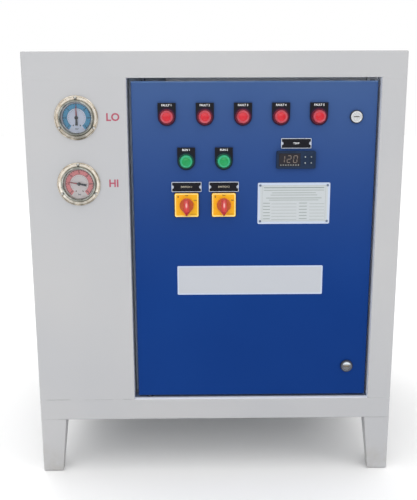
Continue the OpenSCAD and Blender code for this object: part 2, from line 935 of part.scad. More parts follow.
module temperature_controller()
{
  color("#17181a") placed() on_door(column_x, controller_z) {
    difference() {
      linear_extrude(controller_t) rounded_rect(controller_w, controller_h, 3);
      translate([-key_zone / 2, 0, controller_t])
        cube([controller_w - key_zone - window_rim, controller_h - window_rim, 2], center = true);
    }
    for (sx = [-1, 1], sy = [-1, 1])
      translate([controller_w / 2 - key_zone / 2 - 2 + sx * key_step / 2, sy * key_rise / 2, controller_t])
        cube([key_w, key_h, 1.2], center = true);
    translate([0, 0, 0.5 - controller_deep / 2])
      cube([controller_w - 7, controller_h - 6, controller_deep + 1], center = true);
  }
}

module rating_plate()
{
  color("#e4e4e6") placed() on_door(red_x(rating_place), door_t - rating_drop)
    linear_extrude(1) rounded_rect(rating_w, rating_h, 3);
}

module name_plate()
{
  color("#e4e4e6") placed() on_door(name_x, door_t - name_drop)
    linear_extrude(1.2) rounded_rect(name_w, name_h, 2);
}

module lock_housings()
{
  color("#d0d2d4") placed() at_locks() difference() {
    union() {
      cylinder(d = lock_d, h = 3);
      translate([0, 0, 3]) cylinder(d1 = lock_d, d2 = lock_d - 3, h = 1.5);
      translate([0, 0, -lock_body_l]) cylinder(d = lock_body_d, h = lock_body_l + 1);
      translate([0, 0, -sheet - 5]) cylinder(d = lock_body_d + 10, h = 5, $fn = 6);
    }
    translate([0, 0, -lock_body_l - 1]) cylinder(d = barrel_d + 2 * pin_fit, h = lock_body_l + 10);
  }
}

module lock_barrel()
{
  back = door_recess - tongue_y - tongue_t;
  difference() {
    translate([0, 0, back]) cylinder(d = barrel_d, h = 3.6 - back);
    translate([0, 0, 3.6]) cube([barrel_d * 0.62, 2, 4], center = true);
  }
  translate([-8, -8, back]) cube([16, tongue_l + 8, tongue_t]);
}

module upper_lock()
{
  color("#dcdddf") placed() on_door(lock_x, upper_lock_z) lock_barrel();
}

module lower_lock()
{
  color("#dcdddf") placed() on_door(lock_x, lower_lock_z) lock_barrel();
}

// A rotary switch's knob: a domed base, a pointer drawn out to a tip, a raised grip and a shaft.
module knob()
{
  r = knob_d / 2;
  lean = r / knob_tip;
  side = r * sqrt(1 - lean * lean);
  dome = 1.6 * r;
  top = knob_base + knob_h;
  translate([0, 0, plate_t + seat]) {
    intersection() {
      cylinder(r = r, h = top);
      translate([0, 0, knob_base + dome * 0.22 - dome]) sphere(dome);
    }
    linear_extrude(knob_base * 0.6) polygon([[-side, -r * lean], [side, -r * lean], [0, -knob_tip]]);
    intersection() {
      linear_extrude(top)
        polygon([[-r * 0.2, r * 0.96], [r * 0.2, r * 0.96], [r * 0.34, r * 0.3], [r * 0.34, -r * 0.5],
          [1, 1 - knob_tip], [-1, 1 - knob_tip], [-r * 0.34, -r * 0.5], [-r * 0.34, r * 0.3]]);
      rotate([90, 0, 90]) linear_extrude(knob_d, center = true) {
        polygon([[r, 0], [r, top - r * 0.5], [r * 0.5, top], [-r * 0.7, top], [-r * 1.2, top - r * 0.5],
          [-knob_tip, knob_base], [-knob_tip, 0]]);
        translate([r * 0.5, top - r * 0.5]) circle(r * 0.5);
      }
    }
  }
  translate([0, 0, -knob_shaft]) cylinder(d = shaft_d, h = knob_shaft + 1 + plate_t);
}

module left_knob()
{
  color("#c8322a") placed() on_door(green_x(0), switch_z) knob();
}

module right_knob()
{
  color("#c8322a") placed() on_door(green_x(1), switch_z) knob();
}

base_frame();
floor_tray();
front_left_leg();
front_right_leg();
back_left_leg();
back_right_leg();
gauge_panel();
front_header();
front_stile();
top_panel();
left_side_panel();
right_side_panel();
back_panel();
fan_ring();
fan_guard();
condenser_fan();
condenser_coil();
water_sockets();
cable_gland();
control_box();
mounting_plate();
circuit_breakers();
contactors();
door_stops();
pivot_pins();
gauge_cases();
gauge_dials();
gauge_glasses();
low_pressure_pointer();
high_pressure_pointer();
door();
lamp_legends();
red_lamps();
green_lamps();
control_bodies();
switch_plates();
label_frames();
temperature_controller();
rating_plate();
name_plate();
lock_housings();
left_knob();
right_knob();
upper_lock();
lower_lock();
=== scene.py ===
"""Looks for the air cooled water chiller: its paints, metals and plastics, the printed dials and
labels, and the small fittings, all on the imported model's own frame. Lengths are in metres."""

import json
import math

import bmesh
import bpy
from mathutils import Matrix, Vector

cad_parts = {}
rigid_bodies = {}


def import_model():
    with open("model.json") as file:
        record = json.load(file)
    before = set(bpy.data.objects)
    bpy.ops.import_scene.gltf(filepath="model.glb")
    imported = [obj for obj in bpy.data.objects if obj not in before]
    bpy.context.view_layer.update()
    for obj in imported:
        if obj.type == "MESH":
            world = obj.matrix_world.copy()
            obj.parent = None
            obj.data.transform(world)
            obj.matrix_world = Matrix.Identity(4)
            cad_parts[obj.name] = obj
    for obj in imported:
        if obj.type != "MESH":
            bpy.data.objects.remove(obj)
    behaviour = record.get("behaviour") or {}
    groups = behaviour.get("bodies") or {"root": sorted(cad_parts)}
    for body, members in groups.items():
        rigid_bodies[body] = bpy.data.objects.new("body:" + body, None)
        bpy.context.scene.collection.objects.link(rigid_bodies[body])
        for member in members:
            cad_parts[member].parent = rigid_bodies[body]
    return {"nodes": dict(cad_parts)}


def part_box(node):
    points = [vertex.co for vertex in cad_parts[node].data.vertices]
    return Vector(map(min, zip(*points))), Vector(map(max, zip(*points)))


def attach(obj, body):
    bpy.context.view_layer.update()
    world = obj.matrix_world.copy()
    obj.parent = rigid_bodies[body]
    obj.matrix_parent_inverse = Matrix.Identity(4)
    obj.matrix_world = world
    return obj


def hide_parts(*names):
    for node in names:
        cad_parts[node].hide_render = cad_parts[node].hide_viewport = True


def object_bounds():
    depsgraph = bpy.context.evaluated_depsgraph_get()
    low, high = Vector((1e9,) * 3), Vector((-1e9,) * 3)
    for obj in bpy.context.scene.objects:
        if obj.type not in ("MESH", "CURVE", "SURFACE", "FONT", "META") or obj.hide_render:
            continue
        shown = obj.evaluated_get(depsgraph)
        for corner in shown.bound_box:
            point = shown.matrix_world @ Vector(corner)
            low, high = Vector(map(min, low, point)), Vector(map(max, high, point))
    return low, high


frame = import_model()
cad_low, cad_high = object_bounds()
nodes = frame["nodes"]

FRONT = Vector((0, -1, 0))
BACK = Vector((0, 1, 0))
FACING_FRONT = (math.pi / 2, 0, 0)


# Places that the pieces share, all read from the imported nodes.


def middle(node):
    low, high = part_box(node)
    return (low + high) / 2


def half_width(node):
    low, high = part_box(node)
    return (high.x - low.x) / 2


def front_of(node):
    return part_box(node)[0].y


def spread(low, high, count):
    """Evenly spaced values from low to high."""
    return [low + (high - low) * i / (count - 1) for i in range(count)]


panel_y = front_of("front_header")
door_y = front_of("door")
door_low, door_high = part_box("door")
opening_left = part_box("gauge_panel")[1].x
base_foot, base_top = (corner.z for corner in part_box("base_frame"))
dial_low, dial_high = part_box("gauge_dials")
dial_r = half_width("gauge_dials")
low_gauge = Vector((middle("gauge_dials").x, dial_low.y, dial_high.z - dial_r))
high_gauge = Vector((middle("gauge_dials").x, dial_low.y, dial_low.z + dial_r))
lens_low, lens_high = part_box("red_lamps")
lens_r = (lens_high.z - lens_low.z) / 2
red_places = [(x, middle("red_lamps").z) for x in spread(lens_low.x + lens_r, lens_high.x - lens_r, 5)]
green_low, green_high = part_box("green_lamps")
green_places = [(x, middle("green_lamps").z) for x in (green_low.x + lens_r, green_high.x - lens_r)]
legend_y = front_of("lamp_legends")
legend_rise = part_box("lamp_legends")[1].z - red_places[0][1]
switch_z = middle("switch_plates").z
switch_xs = (middle("left_knob").x, middle("right_knob").x)
switch_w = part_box("switch_plates")[1].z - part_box("switch_plates")[0].z
plate_y = front_of("switch_plates")
barrel_r = half_width("lower_lock")


# Modelling by hand: primitives, edit mode tools and applied modifiers.


def clear():
    if bpy.context.object and bpy.context.object.mode != "OBJECT":
        end_edit()
    bpy.ops.object.select_all(action="DESELECT")


def taken(name, size=(1, 1, 1)):
    """Names the primitive just added and puts its size and place into its mesh."""
    piece = bpy.context.active_object
    piece.name = name
    piece.data.name = name
    piece.scale = size
    bpy.ops.object.transform_apply(location=True, rotation=True, scale=True)
    return piece


def take_up(piece):
    """Makes a finished piece the only selected and active one."""
    clear()
    piece.select_set(True)
    bpy.context.view_layer.objects.active = piece


def start_edit():
    """Enters edit mode with the whole mesh selected."""
    bpy.ops.object.mode_set(mode="EDIT")
    bpy.ops.mesh.select_all(action="SELECT")


def end_edit():
    bpy.ops.object.mode_set(mode="OBJECT")


def draw_out(move):
    """Extrudes what is selected."""
    bpy.ops.mesh.extrude_region_move(TRANSFORM_OT_translate={"value": move})


def pick_points(piece, wanted):
    """In edit mode, selects only the points for which wanted(place) holds."""
    bpy.ops.mesh.select_mode(type="VERT")
    bpy.ops.mesh.select_all(action="DESELECT")
    shape = bmesh.from_edit_mesh(piece.data)
    for point in shape.verts:
        point.select_set(wanted(point.co))
    bmesh.update_edit_mesh(piece.data)


def mend(piece):
    """Joins doubled points and turns all faces outwards."""
    take_up(piece)
    start_edit()
    bpy.ops.mesh.remove_doubles(threshold=0.000005)
    bpy.ops.mesh.normals_make_consistent(inside=False)
    end_edit()


def smooth(piece, angle=35):
    take_up(piece)
    bpy.ops.object.shade_smooth_by_angle(angle=math.radians(angle))


def modify(piece, kind, **settings):
    take_up(piece)
    modifier = piece.modifiers.new(kind.lower(), kind)
    for key, value in settings.items():
        setattr(modifier, key, value)
    bpy.ops.object.modifier_apply(modifier=modifier.name)


def turned(name, centre, direction, profile, around=32, ring=False):
    """A piece turned on a lathe: a disc that is drawn out step by step along the direction.
    The profile is a list of (radius, height); a ring's profile ends where it starts."""
    clear()
    centre, way = Vector(centre), Vector(direction)
    held_r, held_h = profile[0]
    facing = Vector((0, 0, 1)).rotation_difference(way).to_euler()
    fill = "NOTHING" if ring else "NGON"
    bpy.ops.mesh.primitive_circle_add(
        vertices=around, radius=held_r, fill_type=fill, location=centre + way * held_h, rotation=facing)
    piece = taken(name)
    bpy.ops.object.mode_set(mode="EDIT")
    bpy.ops.mesh.select_mode(type="EDGE" if ring else "FACE")
    bpy.ops.mesh.select_all(action="SELECT")
    for radius, height in profile[1:]:
        draw_out(way * (height - held_h))
        share = radius / held_r
        bpy.ops.transform.resize(value=(share, share, share), center_override=centre + way * height)
        held_r, held_h = radius, height
    end_edit()
    mend(piece)
    smooth(piece)
    return piece


def in_shares(radius, height, shares):
    """A lathe profile that is given in shares of a radius and a height."""
    return [(radius * across, height * rise) for across, rise in shares]


def slab(name, low, high, soften=0.0, steps=2):
    """A block between two corners with softened edges."""
    clear()
    low, high = Vector(low), Vector(high)
    bpy.ops.mesh.primitive_cube_add(size=1, location=(low + high) / 2)
    piece = taken(name, high - low)
    if soften:
        start_edit()
        bpy.ops.mesh.bevel(offset=soften, segments=steps, affect="EDGES")
        end_edit()
        smooth(piece)
    return piece


def front_plane(name, centre, wide, high):
    clear()
    bpy.ops.mesh.primitive_plane_add(size=1, location=centre, rotation=FACING_FRONT)
    return taken(name, (wide, high, 1))


def front_plate(name, centre, wide, high, thick, corner=0.0, rim=0.0, drop=0.0):
    """A flat plate facing the front: rounded corners, drawn forward, with an inset field."""
    piece = front_plane(name, centre, wide, high)
    start_edit()
    if corner:
        bpy.ops.mesh.bevel(offset=corner, segments=5, affect="VERTICES")
        bpy.ops.mesh.select_all(action="SELECT")
    draw_out((0, -thick, 0))
    if rim:
        bpy.ops.mesh.inset(thickness=rim, depth=-drop)
    end_edit()
    mend(piece)
    return piece


def cut(piece, tool):
    """Takes the tool's shape out of a piece."""
    modify(piece, "BOOLEAN", operation="DIFFERENCE", object=tool)
    bpy.data.objects.remove(tool)


def joined(pieces, name):
    clear()
    for piece in pieces:
        piece.select_set(True)
    bpy.context.view_layer.objects.active = pieces[0]
    if len(pieces) > 1:
        bpy.ops.object.join()
    result = bpy.context.active_object
    result.name = name
    result.data.name = name
    return result


def copies(piece, places, name):
    """Copies a finished piece to each shift or matrix, each with its own mesh, joined as one."""
    made = []
    for place in places:
        move = place if isinstance(place, Matrix) else Matrix.Translation(place)
        copy = piece.copy()
        copy.data = piece.data.copy()
        copy.data.transform(move)
        bpy.context.scene.collection.objects.link(copy)
        made.append(copy)
    bpy.data.objects.remove(piece)
    return joined(made, name)


def about(centre, degrees):
    """A turn round a front to back axis, clockwise as seen from the front."""
    spot = Matrix.Translation(centre)
    return spot @ Matrix.Rotation(math.radians(degrees), 4, "Y") @ spot.inverted()


def lettering(name, words, centre, height, weight, thick=0.00006):
    """Raised print on a front face, centred, with capitals of the given height."""
    clear()
    font_per_capital = 1.38
    bpy.ops.object.text_add(location=centre, rotation=FACING_FRONT)
    text = bpy.context.active_object.data
    text.body = words
    text.align_x = "CENTER"
    text.align_y = "CENTER"
    text.size = height * font_per_capital
    text.offset = weight
    text.extrude = thick
    text.resolution_u = 3
    bpy.ops.object.convert(target="MESH")
    return taken(name)


def dress(piece, finishes, body="cabinet"):
    """Gives a piece its finish, or a list of them, and the body that it rides on."""
    piece.data.materials.clear()
    for material in finishes if isinstance(finishes, list) else [finishes]:
        piece.data.materials.append(material)
    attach(piece, body)


# Finishes. Colours are screen values from 0 to 255, and what several finishes share is a node group.


def linear(red, green, blue):
    """A screen colour as the linear colour that a shader takes."""
    shares = [value / 255 for value in (red, green, blue)]
    return [one / 12.92 if one <= 0.04045 else ((one + 0.055) / 1.055) ** 2.4 for one in shares] + [1]


class Nodes:
    """A node tree, of a material or of a node group, with a short call for each kind of node."""

    def __init__(self, tree):
        self.tree = tree

    def put(self, value, socket):
        """Links a node's output to a socket, or sets the socket to a plain value."""
        if isinstance(value, bpy.types.NodeSocket):
            self.tree.links.new(value, socket)
        else:
            socket.default_value = value

    def add(self, kind, sockets, **settings):
        node = self.tree.nodes.new("ShaderNode" + kind)
        for key, value in settings.items():
            setattr(node, key, value)
        for key, value in sockets.items():
            self.put(value, node.inputs[key])
        return node

    def use(self, effect, **values):
        """Places a shared effect with its own values."""
        return self.add("Group", values, node_tree=effect)

    def spot(self):
        return self.add("TexCoord", {}).outputs["Object"]

    def part(self):
        """The three object coordinates of a surface point."""
        return self.add("SeparateXYZ", {"Vector": self.spot()}).outputs

    def normal(self):
        return self.add("NewGeometry", {}).outputs["Normal"]

    def noise(self, vector, scale, detail=3.0, rough=0.55):
        sockets = {"Vector": vector, "Scale": scale, "Detail": detail, "Roughness": rough}
        return self.add("TexNoise", sockets).outputs["Fac"]

    def ranged(self, value, low, high, to_low=0.0, to_high=1.0):
        """A value's place between low and high, held within those ends."""
        ends = {"From Min": low, "From Max": high, "To Min": to_low, "To Max": to_high}
        return self.add("MapRange", {"Value": value, **ends}).outputs["Result"]

    def between(self, share, low, high):
        """A value that runs from low to high as the share runs from 0 to 1."""
        return self.ranged(share, 0.0, 1.0, low, high)

    def sums(self, how, first, second=0.0):
        return self.add("Math", {0: first, 1: second}, operation=how).outputs[0]

    def times(self, first, *others):
        for other in others:
            first = self.sums("MULTIPLY", first, other)
        return first

    def plus(self, first, second):
        return self.sums("ADD", first, second)

    def off(self, value, centre):
        """How far a value is from a centre, on either side."""
        return self.sums("ABSOLUTE", self.sums("SUBTRACT", value, centre))

    def away(self, across, along):
        """A distance from its two parts."""
        return self.sums("SQRT", self.plus(self.times(across, across), self.times(along, along)))

    def blend(self, share, first, second):
        """A mix of two colours: a tuple is a screen colour, a list is linear, the rest are outputs."""
        sockets = {"Factor_Float": share}
        for key, colour in (("A_Color", first), ("B_Color", second)):
            sockets[key] = linear(*colour) if isinstance(colour, tuple) else colour
        mix = self.add("Mix", {}, data_type="RGBA")
        for socket in mix.inputs:
            if socket.identifier in sockets:
                self.put(sockets[socket.identifier], socket)
        return next(socket for socket in mix.outputs if socket.identifier == "Result_Color")


class Effect(Nodes):
    """A node group: inputs by name and value, and the names of its outputs."""

    def __init__(self, name, inputs, outputs):
        super().__init__(bpy.data.node_groups.new(name, "ShaderNodeTree"))
        for label, value in inputs.items():
            self.new_socket(label, "INPUT", isinstance(value, tuple)).default_value = value
        for label in outputs:
            self.new_socket(label, "OUTPUT", label == "Normal")
        self.given = self.tree.nodes.new("NodeGroupInput").outputs
        self.result = self.tree.nodes.new("NodeGroupOutput").inputs

    def new_socket(self, label, side, vector):
        kind = "NodeSocketVector" if vector else "NodeSocketFloat"
        return self.tree.interface.new_socket(label, in_out=side, socket_type=kind)

    def give(self, **outputs):
        for label, value in outputs.items():
            self.put(value, self.result[label.replace("_", " ")])
        return self.tree


class Finish(Nodes):
    """A material with its Principled shader; plain values are set on the shader's own sockets."""

    def __init__(self, name, **values):
        self.material = bpy.data.materials.new(name)
        self.material.use_nodes = True
        super().__init__(self.material.node_tree)
        self.tree.nodes.clear()
        self.shader = self.add("BsdfPrincipled", {})
        self.add("OutputMaterial", {"Surface": self.shader.outputs["BSDF"]})
        self.feed(**values)

    def feed(self, **values):
        for label, value in values.items():
            self.put(value, self.shader.inputs[label.replace("_", " ")])
        return self.material

    def bump(self, height, strength, distance=0.0001, edge=None):
        """Surface relief, over an edge effect's rounded normal where there is one."""
        sockets = {"Strength": strength, "Distance": distance, "Height": height}
        if edge:
            sockets["Normal"] = edge.outputs["Normal"]
        return self.feed(Normal=self.add("Bump", sockets).outputs["Normal"])


def sprayed_coat():
    """Paint from a spray gun: fine orange peel, slow unevenness and a few wiped streaks."""
    n = Effect("sprayed_coat", {"Peel": 900.0, "Uneven": 3.0}, ["Height", "Uneven", "Streak"])
    spot = n.spot()
    wiped = n.add("Mapping", {"Vector": spot, "Scale": (14.0, 14.0, 2.2), "Rotation": (0.0, 0.35, 0.0)})
    streak = n.noise(wiped.outputs["Vector"], 2.6, 5.0, 0.62)
    slow = n.noise(spot, n.given["Uneven"], 2.5, 0.5)
    return n.give(Height=n.noise(spot, n.given["Peel"], 2.0), Uneven=n.ranged(slow, 0.3, 0.7),
                  Streak=n.ranged(streak, 0.56, 0.72))


def settled_dust():
    """Dust on what faces up and a little dirt low on the legs."""
    n = Effect("settled_dust", {"Amount": 0.5}, ["Dust", "Low Dirt"])
    up = n.add("SeparateXYZ", {"Vector": n.normal()}).outputs["Z"]
    patchy = n.ranged(n.noise(n.spot(), 38.0, 6.0, 0.62), 0.38, 0.68)
    low = n.ranged(n.part()["Z"], 0.075, 0.0)
    return n.give(Dust=n.times(n.ranged(up, 0.35, 0.95), patchy, n.given["Amount"]),
                  Low_Dirt=n.times(low, patchy, n.given["Amount"]))


def folded_edge():
    """Where a sheet is folded or cut: a mask along the edges and a normal that rounds them."""
    n = Effect("folded_edge", {"Radius": 0.0012}, ["Edge", "Normal"])
    rounded = n.add("Bevel", {"Radius": n.given["Radius"]}, samples=4).outputs["Normal"]
    agree = n.add("VectorMath", {0: rounded, 1: n.normal()}, operation="DOT_PRODUCT").outputs["Value"]
    return n.give(Edge=n.ranged(agree, 0.995, 0.90), Normal=rounded)


def drawn_metal():
    """Metal with a grain along one direction: fine lines and slow tone changes."""
    n = Effect("drawn_metal", {"Stretch": (40.0, 40.0, 900.0), "Blotch": 30.0}, ["Height", "Tone"])
    spot = n.spot()
    drawn = n.add("VectorMath", {0: spot, 1: n.given["Stretch"]}, operation="MULTIPLY").outputs["Vector"]
    lines = n.noise(drawn, 1.0)
    blotch = n.noise(spot, n.given["Blotch"], 4.0)
    tone = n.plus(n.times(lines, 0.6), n.times(blotch, 0.4))
    return n.give(Height=lines, Tone=n.ranged(tone, 0.35, 0.65))


def moulded_skin():
    """Moulded plastic: a fine spark eroded grain and faint flow marks."""
    n = Effect("moulded_skin", {"Grain": 2200.0}, ["Height", "Flow"])
    spot = n.spot()
    return n.give(Height=n.noise(spot, n.given["Grain"], 2.0), Flow=n.ranged(n.noise(spot, 45.0), 0.35, 0.65))


coat_effect = sprayed_coat()
dust_effect = settled_dust()
edge_effect = folded_edge()
drawn_effect = drawn_metal()
moulded_effect = moulded_skin()
even_grain = (500.0, 500.0, 500.0)


def fine_edge(n):
    """The narrow rounded edge of machined and moulded pieces."""
    return n.use(edge_effect, Radius=0.0006)


def painted_sheet(name, base, shade, wear_and_highlight, dust=0.4, gloss=0.42, specular=0.35, edge_share=0.5, radius=0.0012,
                  seams_and_opening_light=False, dust_haze_and_sheen=None):
    """Sprayed sheet steel: base colour with an uneven shade, paler edges that are partly wear and partly
    painted highlight, and settled dust.
    The door also gets a painted sheen towards its top over a dust film, and a painted highlight along its top
    fold.
    The cabinet's sheets also show its filled seams, and painted shade and painted light in the door's
    opening."""
    n = Finish(name, Specular_IOR_Level=specular)
    coat = n.use(coat_effect).outputs
    dusty = n.use(dust_effect, Amount=dust).outputs
    edge = n.use(edge_effect, Radius=radius)
    colour = n.blend(coat["Uneven"], base, shade)
    # On the door: a dust film with a painted sheen towards the top, and a painted highlight along the top
    # fold.
    if dust_haze_and_sheen:
        colour = n.blend(haze_and_painted_sheen(n, coat["Uneven"]), colour, dust_haze_and_sheen)
        colour = n.blend(top_fold_highlight(n), colour, wear_and_highlight)
    # Paler edges: partly edge wear and partly a painted highlight along the folds.
    colour = n.blend(n.times(edge.outputs["Edge"], edge_share), colour, wear_and_highlight)
    if seams_and_opening_light:
        colour = n.blend(weld_line(n), colour, (150, 150, 152))
    colour = n.blend(dusty["Dust"], colour, (186, 182, 172))
    colour = n.blend(dusty["Low Dirt"], colour, (150, 142, 126))
    if seams_and_opening_light:
        # Painted shade on the sill under the door, and painted light, a near-white bluish tone, on the rest
        # of the opening's lining.
        shadowed, lit = door_recess(n)
        colour = n.blend(shadowed, colour, (126, 138, 164))
        colour = n.blend(lit, colour, (236, 240, 247))
    rough = n.plus(n.plus(n.times(coat["Streak"], 0.10), n.times(coat["Uneven"], 0.06)), gloss)
    n.feed(Base_Color=colour, Roughness=n.plus(rough, n.times(dusty["Dust"], 0.3)))
    return n.bump(coat["Height"], 0.10, 0.0002, edge)


def haze_and_painted_sheen(n, uneven):
    """A film of dried dust that pales the door towards its top, with a painted sheen there that stands for
    the bright sky's reflection.
    """
    film = n.sums("POWER", n.ranged(n.part()["Z"], door_low.z + 0.18, door_high.z), 1.9)
    return n.times(film, n.between(uneven, 0.82, 1.0))


def top_fold_highlight(n):
    """A painted highlight along the fold of the door's top edge, where it catches the light."""
    line = n.ranged(n.part()["Z"], door_high.z - 0.0040, door_high.z - 0.0022)
    return n.times(line, n.ranged(n.noise(n.spot(), 60.0, 4.0), 0.3, 0.6, 0.5, 0.95))


def door_recess(n):
    """Masks for painted shade and painted light on what lines the door's opening: painted shade on the sill
    that the door shades, and painted light on the rest.
    """
    part = n.part()
    inside = n.times(n.ranged(part["Y"], panel_y + 0.0008, panel_y + 0.0022),
                     n.ranged(part["Y"], door_y + 0.034, door_y + 0.028))
    for axis, start, end in (("X", door_low.x - 0.0125, door_high.x + 0.0085),
                             ("Z", door_low.z - 0.0085, door_high.z + 0.0085)):
        inside = n.times(inside, n.ranged(part[axis], start, start + 0.001),
                         n.ranged(part[axis], end, end - 0.001))
    behind = n.ranged(part["Y"], door_y + 0.001, door_y + 0.006)
    dark = n.times(inside, behind, n.ranged(part["Z"], door_low.z, door_low.z - 0.002))
    return dark, n.sums("SUBTRACT", inside, dark)


def weld_line(n):
    """The filled joints showing through in places: the gauge panel's foot and the tops of the legs."""
    spot, part = n.spot(), n.part()
    height = n.plus(part["Z"], n.between(n.noise(spot, 30.0, 2.0), -0.0012, 0.0012))
    along = n.times(n.ranged(part["X"], opening_left, opening_left - 0.012),
                    n.ranged(part["X"], cad_low.x + 0.018, cad_low.x + 0.030))
    foot_line = n.times(n.ranged(n.off(height, base_top), 0.0017, 0.0005), along)
    line = n.sums("MAXIMUM", foot_line, n.ranged(n.off(height, base_foot), 0.0015, 0.0004))
    return n.times(line, n.ranged(n.noise(spot, 26.0, 2.0), 0.40, 0.56, 0.0, 0.55))


def metal(name, base, shade, rough, stretch, blotch=30.0, bump=0.05, painted_shade=None):
    n = Finish(name, Metallic=1.0)
    drawn = n.use(drawn_effect, Stretch=stretch, Blotch=blotch).outputs
    colour = n.blend(drawn["Tone"], base, shade)
    if painted_shade:
        colour = n.blend(gauge_painted_shade(n), colour, painted_shade)
    n.feed(Base_Color=colour, Roughness=n.between(drawn["Tone"], rough * 0.8, rough * 1.25))
    return n.bump(drawn["Height"], bump, edge=fine_edge(n))


def gauge_painted_shade(n):
    """A mask for painted shade on each gauge: a painted dark reflection of the ground at its foot and a faint
    painted shadow at its head, broken up in patches.
    """
    height = n.part()["Z"]
    marks = []
    for centre in (low_gauge, high_gauge):
        def level(share, centre=centre):
            return centre.z + dial_r * share

        foot = n.times(n.ranged(height, level(-0.6), level(-1.3)), n.ranged(height, level(-1.8), level(-1.7)))
        head = n.times(n.ranged(height, level(1.1), level(1.4), 0.0, 0.4),
                       n.ranged(height, level(1.7), level(1.6)))
        marks.append(n.sums("MAXIMUM", foot, head))
    patchy = n.ranged(n.noise(n.spot(), 70.0, 4.0), 0.35, 0.6, 0.35, 0.9)
    return n.times(n.sums("MAXIMUM", *marks), patchy)


def plastic(name, base, shade, rough, specular=0.5, bump=0.06, dust=0.0):
    n = Finish(name, Specular_IOR_Level=specular)
    skin = n.use(moulded_effect).outputs
    colour = n.blend(skin["Flow"], base, shade)
    if dust:
        colour = n.blend(n.use(dust_effect, Amount=dust).outputs["Dust"], colour, (170, 168, 160))
    n.feed(Base_Color=colour, Roughness=n.between(skin["Flow"], rough * 0.9, rough * 1.15))
    return n.bump(skin["Height"], bump, edge=fine_edge(n))


def print_ink(name, base, shade, rough=0.55, lower=None):
    """Printing ink: a flat tone that is a little thin in places.
    The lower dial may have its own two tones."""
    n = Finish(name, Specular_IOR_Level=0.3)
    thin = n.ranged(n.use(moulded_effect, Grain=3500.0).outputs["Height"], 0.3, 0.7)
    colour = n.blend(thin, base, shade)
    if lower:
        upper = n.sums("GREATER_THAN", n.part()["Z"], middle("gauge_dials").z)
        colour = n.blend(upper, n.blend(thin, *lower), colour)
    return n.feed(Base_Color=colour, Roughness=n.between(thin, rough - 0.06, rough + 0.06))


# The cabinet's edge tone is partly wear and partly a painted highlight.
cabinet_grey, cabinet_shade, cabinet_wear_and_highlight = (182, 182, 183), (176, 177, 180), (201, 201, 202)
grey_paint = painted_sheet("grey_powder_coat", cabinet_grey, cabinet_shade, cabinet_wear_and_highlight, seams_and_opening_light=True)
box_paint = painted_sheet("grey_box_paint", cabinet_grey, cabinet_shade, cabinet_wear_and_highlight, seams_and_opening_light=True)
filler_paint = painted_sheet("grey_filler_paint", cabinet_grey, cabinet_shade, (190, 190, 191),
                             edge_share=0.0, radius=0.0001, seams_and_opening_light=True)
# Painted light: a pale bluish tone on the box's lips that brightens the shaded gap round the door.
lip_painted_light = painted_sheet("lip_pale_painted_light", (216, 228, 246), (206, 220, 240), (226, 234, 246),
                          dust=0.2, edge_share=0.3)
# The door's pale top tone is partly dust and partly a painted sheen.
blue_paint = painted_sheet("blue_door_paint", (13, 55, 123), (9, 50, 117), (92, 122, 166), dust=0.35,
                           gloss=0.40, specular=0.06, edge_share=0.8, radius=0.002, dust_haze_and_sheen=(66, 92, 138))
zinc = metal("zinc_plate", (196, 198, 200), (168, 171, 176), 0.36, (60.0, 60.0, 420.0), 55.0)
chrome = metal("lock_chrome", (236, 237, 238), (214, 216, 218), 0.16, even_grain, 80.0, 0.03)
# The last tone of each gauge finish is painted shade, laid on at the flange's foot and head.
gauge_steel = metal("gauge_gilt", (246, 240, 230), (196, 182, 162), 0.16, (120.0, 120.0, 120.0), 34.0, 0.08,
                    painted_shade=(138, 136, 128))
rolled_gold = metal("gauge_rolled_gilt", (246, 238, 224), (160, 142, 116), 0.12, (70.0, 70.0, 70.0), 26.0,
                    0.08, painted_shade=(96, 90, 78))
bezel_steel = metal("gauge_bezel", (178, 180, 174), (98, 100, 94), 0.18, (90.0, 90.0, 90.0), 40.0,
                    painted_shade=(84, 82, 72))
slot_dark = metal("slot_dark", (110, 104, 92), (70, 66, 58), 0.4, (200.0, 200.0, 200.0), 60.0)
slot_tan = metal("slot_tan", (190, 170, 128), (150, 130, 96), 0.3, (200.0, 200.0, 200.0), 60.0)
pin_steel = metal("pin_dark", (84, 88, 98), (58, 62, 72), 0.4, (200.0, 200.0, 40.0), 60.0)
rivet_steel = metal("rivet_dull", (128, 138, 156), (98, 106, 124), 0.35, (300.0, 300.0, 300.0), 90.0)
brass = metal("socket_brass", (206, 168, 96), (168, 128, 66), 0.30, (300.0, 60.0, 300.0), 60.0)
fin_metal = metal("fin_aluminium", (196, 199, 203), (160, 164, 170), 0.38, (900.0, 60.0, 30.0), 26.0)
screw_metal = metal("screw_zinc", (206, 206, 204), (172, 172, 170), 0.28, (400.0, 400.0, 400.0), 90.0)
black_wire = plastic("guard_black", (26, 27, 29), (38, 39, 41), 0.42, dust=0.7)
fan_black = plastic("fan_black", (30, 31, 33), (44, 45, 48), 0.55, dust=0.6)
black_plastic = plastic("legend_black", (14, 14, 22), (20, 20, 28), 0.42, 0.14)
dark_plastic = plastic("contactor_grey", (52, 54, 58), (66, 68, 72), 0.5)
white_plastic = plastic("label_white", (196, 203, 216), (186, 193, 207), 0.42)
breaker_plastic = plastic("breaker_white", (224, 224, 218), (212, 212, 206), 0.46, dust=0.3)
yellow_plastic = plastic("switch_yellow", (236, 164, 6), (231, 174, 14), 0.4, 0.25)
